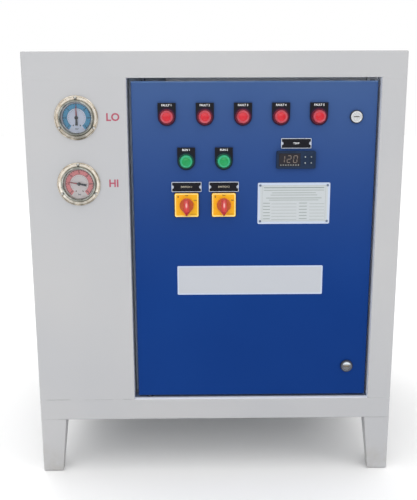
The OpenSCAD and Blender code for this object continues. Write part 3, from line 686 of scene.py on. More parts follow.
# Painted highlight on the switch plates' bevelled rims.
rim_highlight = plastic("switch_rim", (250, 226, 140), (246, 216, 118), 0.36)
pointer_black = plastic("pointer_black", (34, 34, 44), (44, 44, 54), 0.45)
window_brown = plastic("window_smoked", (32, 28, 36), (25, 23, 31), 0.16, 0.3, 0.0)
controller_black = plastic("controller_black", (27, 44, 70), (21, 37, 60), 0.4, 0.16)
rubber = plastic("seal_rubber", (22, 22, 23), (30, 30, 31), 0.7, 0.3, 0.12)
dial_card = print_ink("dial_card", (220, 225, 242), (208, 214, 234), lower=((234, 224, 224), (222, 211, 211)))
blue_ink = print_ink("low_scale_blue", (94, 176, 216), (72, 148, 194))
red_ink = print_ink("high_scale_red", (248, 156, 156), (230, 122, 128))
navy_ink = print_ink("scale_mark_dark", (26, 40, 66), (38, 52, 82))
maroon_ink = print_ink("scale_mark_maroon", (92, 24, 36), (110, 34, 46))
label_ink = print_ink("label_print_tan", (206, 198, 178), (184, 176, 156))
letter_ink = print_ink("letter_red", (158, 64, 86), (172, 86, 104))
white_ink = print_ink("print_white", (238, 238, 240), (220, 222, 226))
grey_ink = print_ink("print_grey", (150, 156, 156), (170, 176, 176))
black_ink = print_ink("print_black", (28, 28, 30), (48, 48, 50))
figure_ink = print_ink("figure_dim", (136, 124, 116), (110, 100, 94))
plate_metal = print_ink("plate_white", (187, 198, 217), (180, 191, 211), 0.4)
plate_field = print_ink("plate_field", (184, 187, 194), (178, 182, 188), 0.42)
form_field = print_ink("form_field", (189, 194, 197), (183, 188, 191), 0.42)
form_ink = print_ink("form_ink", (132, 142, 138), (148, 156, 154))
pointer_red = print_ink("pointer_red", (178, 44, 60), (160, 36, 52))


def lens_finish(name, tone, other_tone):
    """Coloured clear plastic over a bulb."""
    n = Finish(name, Roughness=0.2, Specular_IOR_Level=0.35, Coat_Weight=0.12, Subsurface_Weight=0.15,
               Subsurface_Scale=0.003)
    skin = n.use(moulded_effect, Grain=420.0).outputs
    n.feed(Base_Color=n.blend(skin["Flow"], tone, other_tone))
    return n.bump(skin["Height"], 0.08, 0.0004)


def red_row(n, part):
    """A mask that holds in the red lamps' row and not in the green lamps'."""
    return n.sums("GREATER_THAN", part["Z"], (red_places[0][1] + green_places[0][1]) / 2)


def near_lens(n, part, places):
    """A mask that rises towards the rim of the nearest lens of an evenly spaced row."""
    (first_x, row_z), (second_x, row_z) = places[:2]
    across = n.sums("PINGPONG", n.sums("SUBTRACT", part["X"], first_x), (second_x - first_x) / 2)
    return n.ranged(n.away(across, n.sums("SUBTRACT", part["Z"], row_z)), lens_r * 1.5, lens_r * 1.1)


def legend_finish():
    """Legend plates: black plastic with a painted reflection of the lens's colour round each lens."""
    n = Finish("legend_lens_reflection", Specular_IOR_Level=0.14)
    skin, part = n.use(moulded_effect).outputs, n.part()
    row = red_row(n, part)
    near = n.between(row, near_lens(n, part, green_places), near_lens(n, part, red_places))
    black = n.blend(skin["Flow"], (14, 14, 22), (20, 20, 28))
    # Painted reflection of the lenses: maroon round the red ones, teal round the green ones.
    tint = n.blend(row, (2, 46, 58), (62, 14, 66))
    n.feed(Base_Color=n.blend(n.times(near, 0.85), black, tint),
           Roughness=n.between(skin["Flow"], 0.38, 0.48))
    return n.bump(skin["Height"], 0.06, edge=fine_edge(n))


def collar_finish():
    """Lamp collars: black plastic with a painted reflection of the lens above it, maroon in the red row,
    green in the other.
    """
    n = Finish("collar_lens_reflection", Specular_IOR_Level=0.3)
    skin, part = n.use(moulded_effect).outputs, n.part()
    # Painted reflection of the lens, and grey where the collar is behind the door.
    tint = n.blend(red_row(n, part), (8, 78, 60), (104, 16, 40))
    tint = n.blend(n.ranged(part["Y"], door_y, door_y + 0.001), tint, (50, 52, 56))
    n.feed(Base_Color=n.blend(n.times(skin["Flow"], 0.35), tint, (24, 20, 24)),
           Roughness=n.between(skin["Flow"], 0.32, 0.42))
    return n.bump(skin["Height"], 0.05)


def knob_finish(name, x):
    """Red knob plastic: a painted highlight along the grip's ridge and a brighter painted shine above its
    centre, browner on the skirt and the tip.
    """
    n = Finish(name, Specular_IOR_Level=0.35)
    skin, part = n.use(moulded_effect).outputs, n.part()
    edge = n.use(edge_effect, Radius=0.0012)
    off, height = n.off(part["X"], x), part["Z"]
    # The ridge and the shine above the centre are painted highlights.
    ridge = n.times(n.ranged(off, 0.0022, 0.0008), n.ranged(height, switch_z - 0.010, switch_z))
    held = n.times(n.ranged(height, switch_z - 0.003, switch_z + 0.001),
                   n.ranged(height, switch_z + 0.009, switch_z + 0.005))
    painted_shine = n.times(n.ranged(off, 0.0024, 0.0010), held)
    tip = n.ranged(height, switch_z - 0.013, switch_z - 0.019)
    colour = n.blend(n.ranged(off, 0.0045, 0.0065), (191, 44, 46), (184, 80, 18))
    for mask, share, tint in ((ridge, 0.3, (236, 150, 146)), (painted_shine, 0.7, (250, 206, 200)),
                              (tip, 0.7, (150, 48, 22)), (edge.outputs["Edge"], 0.5, (240, 150, 150)),
                              (skin["Flow"], 0.3, (178, 44, 40))):
        colour = n.blend(n.times(mask, share), colour, tint)
    n.feed(Base_Color=colour, Roughness=n.between(skin["Flow"], 0.26, 0.36))
    return n.bump(skin["Height"], 0.05, edge=edge)


def housing_finish():
    """Lock housings: a chromed ring inside a dark bluish ring, bright on the upper lock and darkened with
    painted shade on the lower.
    """
    n = Finish("lock_housing_chrome")
    drawn, part = n.use(drawn_effect, Stretch=even_grain, Blotch=80.0).outputs, n.part()
    low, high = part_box("lock_housings")
    nut_r = half_width("lock_housings")
    rise = nut_r * math.cos(math.pi / 6)
    dark_ring_r = nut_r - 0.003
    upper = n.sums("GREATER_THAN", part["Z"], middle("lock_housings").z)
    centre_z = n.between(upper, low.z + rise, high.z - rise)
    across = n.sums("SUBTRACT", part["X"], middle("lock_housings").x)
    away = n.away(across, n.sums("SUBTRACT", part["Z"], centre_z))
    dark_ring = n.ranged(away, dark_ring_r - 0.0021, dark_ring_r - 0.0017)
    shine = n.blend(drawn["Tone"], (246, 247, 248), (226, 228, 230))
    # The lower lock's housing is darkened with painted shade.
    shaded_tone = n.blend(drawn["Tone"], (112, 116, 126), (84, 88, 98))
    n.feed(Base_Color=n.blend(dark_ring, n.blend(upper, shaded_tone, shine), (26, 30, 44)),
           Metallic=n.between(dark_ring, 1.0, 0.0), Roughness=n.between(dark_ring, 0.14, 0.5))
    return n.bump(drawn["Height"], 0.03, edge=fine_edge(n))


def lower_lock_light_and_shade():
    """The lower lock's barrel: metal darkened with painted shade, with a painted highlight above its slot."""
    n = Finish("lower_lock_painted_light", Metallic=1.0)
    drawn = n.use(drawn_effect, Stretch=even_grain, Blotch=80.0).outputs
    centre_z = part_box("lower_lock")[0].z + barrel_r
    # A painted highlight above the slot, over a darker tone of painted shade.
    painted_shine = n.ranged(n.part()["Z"], centre_z + barrel_r * 0.2, centre_z + barrel_r * 0.6)
    shaded_tone = n.blend(drawn["Tone"], (128, 128, 130), (92, 92, 96))
    n.feed(Base_Color=n.blend(painted_shine, shaded_tone, (216, 224, 230)),
           Roughness=n.between(drawn["Tone"], 0.2, 0.32))
    return n.bump(drawn["Height"], 0.03)


def clear_glass():
    """Window glass of the gauges: a clear pane with a few finger marks."""
    n = Finish("gauge_glass", Transmission_Weight=1.0, IOR=1.45, Metallic=0.0,
               Base_Color=(0.97, 0.99, 1.0, 1))
    skin = n.use(coat_effect, Peel=200.0, Uneven=22.0)
    return n.feed(Roughness=n.between(skin.outputs["Uneven"], 0.02, 0.07))


red_heart = lens_finish("red_lens_heart", (188, 12, 32), (198, 28, 46))
red_rim = lens_finish("red_lens_rim", (188, 76, 88), (172, 58, 72))
green_heart = lens_finish("green_lens_heart", (0, 140, 72), (8, 150, 86))
green_rim = lens_finish("green_lens_rim", (46, 166, 118), (32, 152, 104))

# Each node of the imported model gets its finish.

node_finishes = {
    grey_paint: ["base_frame", "front_left_leg", "front_right_leg", "back_left_leg", "back_right_leg",
                 "gauge_panel", "front_header", "front_stile", "top_panel", "left_side_panel",
                 "right_side_panel", "back_panel", "door_stops"],
    box_paint: ["control_box"],
    blue_paint: ["door"],
    zinc: ["floor_tray", "mounting_plate", "fan_ring"],
    pin_steel: ["pivot_pins"],
    black_wire: ["fan_guard"],
    fan_black: ["condenser_fan"],
    fin_metal: ["condenser_coil"],
    brass: ["water_sockets"],
    black_plastic: ["cable_gland"],
    legend_finish(): ["lamp_legends"],
    collar_finish(): ["control_bodies"],
    dark_plastic: ["contactors"],
    breaker_plastic: ["circuit_breakers"],
    white_plastic: ["label_frames"],
    controller_black: ["temperature_controller"],
    gauge_steel: ["gauge_cases"],
    dial_card: ["gauge_dials"],
    clear_glass(): ["gauge_glasses"],
    pointer_black: ["low_pressure_pointer", "high_pressure_pointer"],
    yellow_plastic: ["switch_plates"],
    plate_metal: ["rating_plate", "name_plate"],
    housing_finish(): ["lock_housings"],
    chrome: ["upper_lock"],
    lower_lock_light_and_shade(): ["lower_lock"],
    knob_finish("left_knob_red", switch_xs[0]): ["left_knob"],
    knob_finish("right_knob_red", switch_xs[1]): ["right_knob"],
    red_heart: ["red_lamps"],
    green_heart: ["green_lamps"],
}
for material, names in node_finishes.items():
    for name in names:
        nodes[name].data.materials.clear()
        nodes[name].data.materials.append(material)


# Gauges: printed scales, numbers, pointer tips, rims and the flange's screws.

scale_sweep = 290
number_sweep = 270
ink_film = 0.00012
dial_capital = 0.0034
number_ring = 0.745


def scale_band(name, centre, inner, outer):
    """A printed arc round a dial, in shares of its radius: a radial edge swept clockwise round the centre."""
    clear()
    half = math.radians(scale_sweep / 2)
    start = math.pi / 2 + half
    spot = centre + Vector((math.cos(start), 0, math.sin(start))) * dial_r * (inner + outer) / 2
    along = Vector((-math.sin(start), 0, math.cos(start)))
    bpy.ops.mesh.primitive_plane_add(size=1, location=spot, rotation=(math.pi / 2, -start, 0))
    band = taken(name, (dial_r * (outer - inner), 0.00002, 1))
    bpy.ops.object.mode_set(mode="EDIT")
    pick_points(band, lambda place: (place - spot).dot(along) < 0)
    bpy.ops.mesh.delete(type="VERT")
    bpy.ops.mesh.select_all(action="SELECT")
    bpy.ops.mesh.spin(steps=80, angle=2 * half, center=centre, axis=FRONT)
    bpy.ops.mesh.select_all(action="SELECT")
    bpy.ops.mesh.remove_doubles(threshold=0.000002)
    draw_out(FRONT * ink_film)
    end_edit()
    mend(band)
    return band


def dial_marks(name, centre, half_wide, inner, outer, turns):
    """Upright printed marks, in shares of the dial's radius, each turned to its place."""
    low = centre + Vector((-half_wide, -0.00014, dial_r * inner))
    high = centre + Vector((half_wide, 0, dial_r * outer))
    return copies(slab(name, low, high, 0.00004, 1), [about(centre, turn) for turn in turns], name + "s")


def gauge_print(label, centre, band_ink, mark_ink, numbers):
    on_card = centre + FRONT * 0.00002
    on_band = on_card + FRONT * (ink_film + 0.00001)
    dress(scale_band(label + "_scale", on_card, 0.62, 0.955), band_ink)
    line_at = on_card + FRONT * ink_film
    steps = 4 * (len(numbers) - 1)
    turns = spread(-number_sweep / 2, number_sweep / 2, steps + 1)
    between = [turn for i, turn in enumerate(turns) if i % 4]
    marks = [scale_band("scale_line", line_at, 0.64, 0.655), scale_band("outer_line", line_at, 0.925, 0.955),
             dial_marks("long_tick", on_band, 0.0006, 0.82, 0.95, turns[::4]),
             dial_marks("short_tick", on_band, 0.0004, 0.865, 0.95, between),
             dial_marks("inner_tick", on_card, 0.0002, 0.50, 0.57, spread(-125, 125, 21)),
             dial_marks("end_mark", on_card, 0.0009, 0.50, 0.60, (155, 205))]
    for turn, number in zip(turns[::4], numbers):
        spot = about(on_band, turn) @ (on_band + Vector((0, 0, dial_r * number_ring)))
        marks.append(lettering("number", number, spot, dial_capital, 0.00013, 0.00007))
    dress(joined(marks, label + "_scale_marks"), mark_ink)
    unit_spot = centre + Vector((0, -0.0002, -dial_r * 0.72))
    dress(lettering(label + "_unit", "bar", unit_spot, dial_capital, 0.00006), navy_ink)


gauge_print("low_gauge", low_gauge, blue_ink, navy_ink, ["0", "2", "4", "6", "8", "10", "12"])
gauge_print("high_gauge", high_gauge, red_ink, maroon_ink, ["0", "5", "10", "15", "20", "25", "30"])


def pointer_tip(name, centre, node, body, turn):
    """The red front half of a pointer, a thin blade laid on the black one."""
    blade_w, narrowed = 0.0024, 0.38
    blade_y = front_of(node) + 0.0010
    long = dial_r - 0.006
    mid_z = centre.z + long * 0.6
    tip = front_plane(name, (centre.x, blade_y, mid_z), blade_w, long * 0.8)
    bpy.ops.object.mode_set(mode="EDIT")
    pick_points(tip, lambda place: place.z > mid_z)
    bpy.ops.transform.resize(value=(narrowed, 1, 1), center_override=(centre.x, blade_y, centre.z + long))
    bpy.ops.mesh.select_all(action="SELECT")
    draw_out(FRONT * ink_film)
    end_edit()
    mend(tip)
    tip.data.transform(about(centre, turn))
    dress(tip, pointer_red, body)


pointer_tip("low_pointer_tip", low_gauge, "low_pressure_pointer", "low_pointer", 0)
pointer_tip("high_pointer_tip", high_gauge, "high_pressure_pointer", "high_pointer", -80)


def pan_screw(name, radius):
    """A pan head screw facing the front at the origin, with a cross recess pressed into its dome."""
    dome = ((1, 0), (1, 0.28), (0.92, 0.48), (0.68, 0.64), (0.3, 0.7))
    screw = turned(name, (0, 0, 0), FRONT, in_shares(radius, radius, dome), 18)
    for wide, high in ((1.1, 0.26), (0.26, 1.1)):
        half = Vector((radius * wide / 2, 0, radius * high / 2))
        cut(screw, slab("recess", FRONT * radius - half, FRONT * radius * 0.34 + half))
    smooth(screw, 30)
    return screw


def hex_screw(name, radius):
    """A sheet metal screw facing the front at the origin: a hexagon head on its own washer."""
    flat = ((1, 0), (1, 0.12), (0.9, 0.2), (0.6, 0.22))
    hexagon = ((0.68, 0.18), (0.68, 0.62), (0.6, 0.74), (0.45, 0.74), (0.4, 0.66))
    washer = turned(name, (0, 0, 0), FRONT, in_shares(radius, radius, flat), 18)
    head = turned(name, (0, 0, 0), FRONT, in_shares(radius, radius, hexagon), 6)
    smooth(head, 20)
    return joined([washer, head], name)


def fasten(screw, spots, name, turn=0):
    """Sets copies of a screw on the cabinet, turned round the upright axis from facing the front."""
    facing = Matrix.Rotation(math.radians(turn), 4, "Z")
    places = [Matrix.Translation(spot) @ facing for spot in spots]
    dress(copies(screw, places, name), screw_metal)


def gauge_rims():
    """Each gauge's rolled flange edge, its rounded bezel and the ears that the screws sit in."""
    flange_r = half_width("gauge_cases")
    proud = panel_y - front_of("gauge_cases")
    ear_out = 0.0392
    edge = [(flange_r - 0.0022, 0.0016), (flange_r - 0.0018, 0.0026), (flange_r - 0.0008, 0.0031),
            (flange_r + 0.0003, 0.0025), (flange_r + 0.0006, 0.0013), (flange_r + 0.0002, 0.0002),
            (flange_r - 0.0015, 0.0002), (flange_r - 0.0022, 0.0016)]
    step = [(0.0356, 0.0016), (0.0360, 0.0030), (0.0352, 0.0050), (0.0346, 0.0068), (0.0338, proud + 0.0004),
            (0.0325, proud + 0.0008), (0.0310, proud + 0.0003), (0.0303, proud - 0.0008), (0.0301, 0.0062),
            (0.0345, 0.0016), (0.0356, 0.0016)]
    ear_profile = [(0.0034, 0.0015), (0.0034, 0.0018), (0.0030, 0.0019)]
    rolled, bezels, ears, spots = [], [], [], []
    for centre in (low_gauge, high_gauge):
        on_panel = Vector((centre.x, panel_y, centre.z))
        rolled.append(turned("rolled_edge", on_panel, FRONT, edge, 64, ring=True))
        bezels.append(turned("bezel", on_panel, FRONT, step, 64, ring=True))
        for turn in (0, -120, -240):
            top = on_panel + Vector((0, 0, ear_out))
            spots.append(about(on_panel, turn) @ (top + FRONT * 0.0019))
            ears.append(turned("ear", top, FRONT, ear_profile, 20))
            ears[-1].data.transform(about(on_panel, turn))
    dress(joined(rolled, "gauge_rolled_edges"), rolled_gold)
    dress(joined(bezels, "gauge_bezels"), bezel_steel)
    dress(joined(ears, "gauge_ear_slots"), slot_dark)
    fasten(pan_screw("flange_screw", 0.0026), spots, "gauge_flange_screws")


gauge_rims()

for words, centre, x_off in (("LO", low_gauge, 0.0714), ("HI", high_gauge, 0.0696)):
    letter_spot = (centre.x + x_off, panel_y - 0.00006, centre.z + 0.0005)
    dress(lettering(words.lower() + "_letters", words, letter_spot, 0.0150, 0.00055), letter_ink)


# Welded joints of the front, filled, rubbed down and painted over.


def filled_joint(node, z, half, seed, proud=0.00004, lump=0.00035):
    """Filler over a joint in the front: a strip drawn forward out of the joint and left a little lumpy."""
    clear()
    end_gap, buried, lump_pitch = 0.003, 0.0006, 0.008
    start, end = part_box(node)[0].x + end_gap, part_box(node)[1].x - end_gap
    bpy.ops.mesh.primitive_grid_add(
        x_subdivisions=round((end - start) / lump_pitch), y_subdivisions=3, size=1,
        location=((start + end) / 2, panel_y + buried, z), rotation=FACING_FRONT)
    strip = taken("joint", (end - start, 2 * half, 1))
    start_edit()
    draw_out(FRONT * (buried + proud))
    bpy.ops.mesh.select_less()
    bpy.ops.transform.vertex_random(offset=lump, uniform=0.0, normal=1.0, seed=seed)
    end_edit()
    mend(strip)
    modify(strip, "SUBSURF", subdivision_type="CATMULL_CLARK", levels=2, render_levels=2)
    smooth(strip, 60)
    return strip


def filled_joints():
    """Joints at the foot and the head of the front's uprights, and at the tops of the front legs."""
    strips = []
    for i, node in enumerate(("gauge_panel", "front_stile")):
        strips.append(filled_joint(node, base_top, 0.0024, i + 2))
        strips.append(filled_joint(node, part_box(node)[1].z, 0.0040, i + 8, 0.0001, 0.00004))
    for i, node in enumerate(("front_left_leg", "front_right_leg")):
        strips.append(filled_joint(node, base_foot, 0.0018, i + 5))
    dress(joined(strips, "filled_joints"), filler_paint)


filled_joints()


# Lamps: lenses with a milky rim round a saturated heart, and print on the legend plates.


def lamps(name, places, heart, rim, node):
    """Push in lenses: tapered wall, rounded rim, a shallow dish and fine rings round a raised heart."""
    rings = ((1, 0), (1, 0.30), (0.965, 0.82), (0.93, 0.93), (0.86, 1.0), (0.80, 0.99), (0.76, 0.93),
             (0.66, 0.92), (0.64, 0.95), (0.52, 0.965), (0.50, 0.945), (0.34, 0.985), (0.15, 0.998))
    profile = in_shares(lens_r, lens_high.y - lens_low.y, rings)
    piece = joined([turned(name, (x, lens_high.y, z), FRONT, profile, 40) for x, z in places], name)
    dress(piece, [rim, heart], "door")
    for face in piece.data.polygons:
        near = min(math.hypot(face.center.x - x, face.center.z - z) for x, z in places)
        face.material_index = int(near < lens_r * 0.65 and face.center.y < lens_low.y + 0.003)
    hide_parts(node)


lamps("red_lenses", red_places, red_heart, red_rim, "red_lamps")
lamps("green_lenses", green_places, green_heart, green_rim, "green_lamps")

word_lift = 0.00005
word_drop = 0.0047
legend_words = []
for word, places in (("FAULT", red_places), ("RUN", green_places)):
    for i, (x, z) in enumerate(places):
        word_spot = (x, legend_y - word_lift, z + legend_rise - word_drop)
        legend_words.append(lettering("legend_word", f"{word} {i + 1}", word_spot, 0.0040, 0.00012))
dress(joined(legend_words, "legend_words"), white_ink, "door")


# Label frames: a black card with a half round bite out of each end, and its word.

frame_low, frame_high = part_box("label_frames")
label_h = 0.020
label_w = 2 * (switch_xs[0] - frame_low.x)
rim_shown = 0.0012
card_thick = 0.0012
card_y = frame_low.y + 0.0008


def label_card(x, z, words, ink):
    name = words.lower().replace(" ", "_") + "_card"
    wide, high = label_w - 2 * rim_shown, label_h - 2 * rim_shown
    card = front_plate(name, (x, card_y, z), wide, high, card_thick)
    for side in (-1, 1):
        bite_end = (x + side * wide / 2, card_y - 0.002, z)
        cut(card, turned("bite", bite_end, BACK, [(high * 0.2, 0), (high * 0.2, 0.004)], 24))
    dress(card, black_plastic, "door")
    word = lettering(name + "_word", words, (x, card_y - card_thick - word_lift, z), 0.0037, 0.00005)
    dress(word, ink, "door")


for i, x in enumerate(switch_xs):
    label_card(x, frame_low.z + label_h / 2, f"SWITCH {i + 1}", label_ink)
label_card(middle("temperature_controller").x, frame_high.z - label_h / 2, "TEMP", white_ink)


# Switches: a black plate behind each yellow plate as its painted shadow, the plate's rim with a painted
# highlight, and the marks that the knob turns between.


def shaft_hole(x, y):
    """The tool that cuts the hole for a switch's shaft."""
    shaft_r = 0.0081
    return turned("shaft_hole", (x, y - 0.004, switch_z), BACK, [(shaft_r, 0), (shaft_r, 0.009)], 32)


def switch_gaskets():
    """A black plate behind each switch plate, a little wider, that shows round it as a painted shadow."""
    wide = switch_w + 0.0024
    made = []
    for x in switch_xs:
        made.append(front_plate("shadow_plate", (x, door_y, switch_z), wide, wide, 0.0014, 0.0042))
        cut(made[-1], shaft_hole(x, door_y))
    # Painted shadow: the black plate shows as a dark outline round the switch plate.
    dress(joined(made, "switch_gaskets"), rubber, "door")


def switch_print(name, x):
    wide = switch_w - 0.0008
    rim = front_plate(name + "_rim", (x, plate_y + 0.00005, switch_z), wide, wide, thick=0.0006,
                      corner=0.0034, rim=0.0022, drop=0.0004)
    # The rim gets a painted highlight and the inset field gets the plate's yellow.
    dress(rim, [rim_highlight, yellow_plastic], "door")
    field = max(rim.data.polygons, key=lambda face: face.area if face.normal.y < -0.9 else 0)
    field.material_index = 1
    cut(rim, shaft_hole(x, plate_y))
    ink_y, thick = plate_y - 0.00022, 0.00005
    marks = [lettering("mark", words, (x + dx, ink_y, switch_z + dz), height, weight, thick)
             for words, dx, dz, height, weight in (("OFF", 0.0, 0.0192, 0.0026, 0.00008),
                                                   ("ON", 0.0172, 0.0095, 0.0026, 0.00008),
                                                   ("0", -0.0170, 0.0168, 0.0042, 0.00012))]
    marks.append(slab("rule", (x + 0.007, ink_y - thick, switch_z - 0.0187),
                      (x + 0.019, ink_y + thick, switch_z - 0.0181), 0.00002, 1))
    dress(joined(marks, name + "_marks"), black_ink, "door")


switch_gaskets()
switch_print("left_switch", switch_xs[0])
switch_print("right_switch", switch_xs[1])


# Temperature controller: a smoked window, dim figures, a row of symbols and four keys.

figure_w, figure_h, bar_thick = 0.0070, 0.0134, 0.0013
key_zone, controller_rim = 0.026, 0.009
figure_pitch, symbol_pitch, key_off = 0.0126, 0.0050, 0.006


def seven_segments(lit, x, y, z):
    """One figure of the display made of sloped bars."""
    side, half = figure_w / 2, figure_h / 2
    bars = {"a": (0, half), "g": (0, 0), "d": (0, -half), "f": (-side, half / 2), "b": (side, half / 2),
            "e": (-side, -half / 2), "c": (side, -half / 2)}
    made = []
    for bar in lit:
        dx, dz = bars[bar]
        level = bar in "agd"
        long = (figure_w if level else half) - bar_thick * 0.9
        size = Vector((long if level else bar_thick, 0.0001, bar_thick if level else long)) / 2
        spot = Vector((x + dx + dz * 0.12, y, z + dz))
        made.append(slab("figure", spot - size, spot + size, 0.00004, 1))
    return made


def controller_face():
    low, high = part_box("temperature_controller")
    x, z = middle("temperature_controller").x, middle("temperature_controller").z
    face_y = low.y + 0.0006
    window_x = x - key_zone / 2
    window_w, window_h = high.x - low.x - key_zone - controller_rim, high.z - low.z - controller_rim
    window = front_plate("controller_window", (window_x, face_y + 0.0008, z), window_w - 0.0005,
                         window_h - 0.0005, thick=0.0006, corner=0.0012, rim=0.0008, drop=0.0002)
    dress(window, window_brown, "door")
    digits = []
    for i, lit in enumerate(("bc", "abdeg", "abcdef")):
        figure_x = window_x + (i - 1) * figure_pitch - 0.0012
        digits += seven_segments(lit, figure_x, face_y - 0.0001, z + 0.0016)
    dress(joined(digits, "controller_figures"), figure_ink, "door")
    symbols = []
    for i in range(8):
        spot = Vector((window_x - 0.0175 + i * symbol_pitch, face_y - 0.00005, z - 0.0100))
        half = Vector((0.0014, 0.00005, 0.0006))
        symbols.append(slab("symbol", spot - half, spot + half, 0.00003, 1))
    key_profile = [(0.0017, 0), (0.0017, 0.00008), (0.0011, 0.0001)]
    key_x = high.x - key_zone / 2 - 0.002
    for side, corners in ((-1, 4), (1, 3)):
        for rise in (-1, 1):
            spot = (key_x + side * key_off, low.y - 0.00002, z + rise * key_off)
            symbols.append(turned("key_mark", spot, FRONT, key_profile, corners))
    dress(joined(symbols, "controller_symbols"), grey_ink, "door")


controller_face()


# Plates: the rating plate's blank ruled form with its rivets, and the bare name plate's border.


def plate_area(name, plate, rim, corner, finish):
    """The printed area inside a plate's bare rim."""
    low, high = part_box(plate)
    centre = (middle(plate).x, low.y + 0.00002, middle(plate).z)
    area = front_plate(name, centre, high.x - low.x - 2 * rim, high.z - low.z - 2 * rim, 0.0001, corner)
    dress(area, finish, "door")


def rating_form():
    low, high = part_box("rating_plate")
    y = low.y - 0.00009
    left, right, top, bottom = low.x + 0.011, high.x - 0.011, high.z, low.z
    lines = []

    def bar(x0, x1, z0, z1, soften=0.00002):
        lines.append(slab("rule", (x0, y - 0.00005, z0), (x1, y + 0.00003, z1), soften, 1))

    def rule(inset, down, thick):
        bar(left + inset, right - inset, top - down - thick / 2, top - down + thick / 2)

    frame_out, frame_in = 0.002, 0.0062
    rule(-frame_out, frame_in, 0.0004)
    rule(-frame_out, top - bottom - frame_in, 0.0004)
    for x in (left - frame_out, right + frame_out):
        bar(x - 0.0002, x + 0.0002, bottom + frame_in, top - frame_in, 0.0)
    for inset, down, thick in ((0.001, 0.0100, 0.0022), (0.001, 0.0152, 0.0012), (0.018, 0.0205, 0.0012),
                               (0.015, 0.0250, 0.0012), (0.006, 0.0310, 0.0014), (0.012, 0.0352, 0.0012)):
        rule(inset, down, thick)
    first_row, row_pitch = 0.0415, 0.0064
    for i in range(6):
        z = top - first_row - i * row_pitch
        for start, end, drop, thick in ((0.0, 0.014, 0.0, 0.0015), (0.017, 0.068, 0.0014, 0.0007),
                                        (0.073, 0.089, 0.0, 0.0015), (0.094, right - left, 0.0014, 0.0007)):
            bar(left + start, left + end, z - drop - thick / 2, z - drop + thick / 2)
    dress(joined(lines, "rating_lines"), form_ink, "door")
    dome = [(0.0025, 0), (0.0024, 0.0006), (0.0018, 0.0011), (0.0010, 0.0013), (0.0008, 0.0007)]
    rivets = [turned("rivet", (x, low.y, z), FRONT, dome, 18) for x in (low.x + 0.0052, high.x - 0.0052)
              for z in (low.z + 0.0055, high.z - 0.0055)]
    dress(joined(rivets, "rating_rivets"), rivet_steel, "door")


plate_area("rating_field", "rating_plate", 0.0045, 0.0010, form_field)
rating_form()
plate_area("name_field", "name_plate", 0.003, 0.0006, plate_field)


# Locks: the slit in the bottom of each barrel's slot.


def lock_slit(lock, metal_inside):
    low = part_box(lock)[0]
    centre = Vector((middle("lock_housings").x, low.y, low.z + barrel_r))
    half_long, half_high, mouth, depth = 0.0053, 0.0009, 0.0009, 0.0022
    slit_low = centre + Vector((-half_long, mouth, -half_high))
    slit_high = centre + Vector((half_long, depth, half_high))
    dress(slab(lock + "_slit", slit_low, slit_high, 0.0003), metal_inside, lock)


lock_slit("upper_lock", slot_dark)
lock_slit("lower_lock", slot_tan)


# Screws that hold the panels, and the fan ring's.


def panel_screws():
    panel_screw_r, back_inset = 0.0052, 0.014
    low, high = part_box("back_panel")
    left, right, foot, head = low.x + back_inset, high.x - back_inset, low.z + back_inset, high.z - back_inset
    spots = [(x, high.y, z) for x in spread(left, right, 4) for z in (head, foot)]
    spots += [(x, high.y, z) for z in spread(foot, head, 4)[1:-1] for x in (left, right)]
    fasten(hex_screw("back_screw", panel_screw_r), spots, "back_panel_screws", 180)
    for side, node in ((-1, "left_side_panel"), (1, "right_side_panel")):
        low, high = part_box(node)
        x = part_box("base_frame")[1].x * side
        spots = [(x, y, z) for y in (low.y + 0.018, high.y - 0.018)
                 for z in (low.z + 0.02, middle(node).z, high.z - 0.02)]
        fasten(hex_screw("side_screw", panel_screw_r), spots, node + "_screws", 90 * side)
    centre = middle("fan_ring")
    top = Vector((centre.x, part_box("fan_ring")[1].y, centre.z + half_width("fan_ring") - 0.006))
    spots = [about(centre, 90 - 45 * i) @ top for i in range(8)]
    fasten(pan_screw("ring_screw", 0.0036), spots, "fan_ring_screws", 180)


panel_screws()


# Condenser fins: thin plates across the coil, seen through the fan.


def coil_fins():
    ring_z = middle("fan_ring").z
    half = half_width("fan_ring") - 0.016
    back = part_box("condenser_coil")[1].y - 0.005
    half_thick = 0.0004
    fin_low = (-half_thick, back - 0.002, ring_z - half)
    fin_high = (half_thick, back + 0.0018, ring_z + half)
    fin = slab("fin", fin_low, fin_high, 0.0002, 1)
    places = [(x, 0, 0) for x in spread(-half + 0.002, half - 0.002, 92)]
    dress(copies(fin, places, "condenser_fins"), fin_metal)


coil_fins()


# Inside the box: seal on the door stops, the box's lips, breaker levers and terminal screws.


def door_seal():
    low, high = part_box("door_stops")
    end_gap = 0.004
    strip_low = (high.x - 0.016, low.y - 0.004, low.z + end_gap)
    strip_high = (high.x - 0.006, low.y, high.z - end_gap)
    dress(slab("seal_upright", strip_low, strip_high, 0.0015, 3), rubber)


def box_lips():
    """The box's lips above and down the hinge side, far enough in for the door's edge to swing past."""
    stop_low, stop_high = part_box("door_stops")
    lip_y = stop_high.y + 0.013
    lip_back = lip_y + 0.0015
    upright_r = opening_left + 0.015
    soften = 0.0004
    above = slab("lip", (upright_r, lip_y, stop_high.z - 0.020),
                 (stop_low.x - 0.002, lip_back, stop_high.z), soften)
    upright = slab("lip", (opening_left, lip_y, stop_low.z), (upright_r, lip_back, stop_high.z), soften)
    # The lips' pale bluish paint is painted light in the gap beside the door.
    dress(joined([above, upright], "box_lips"), lip_painted_light)


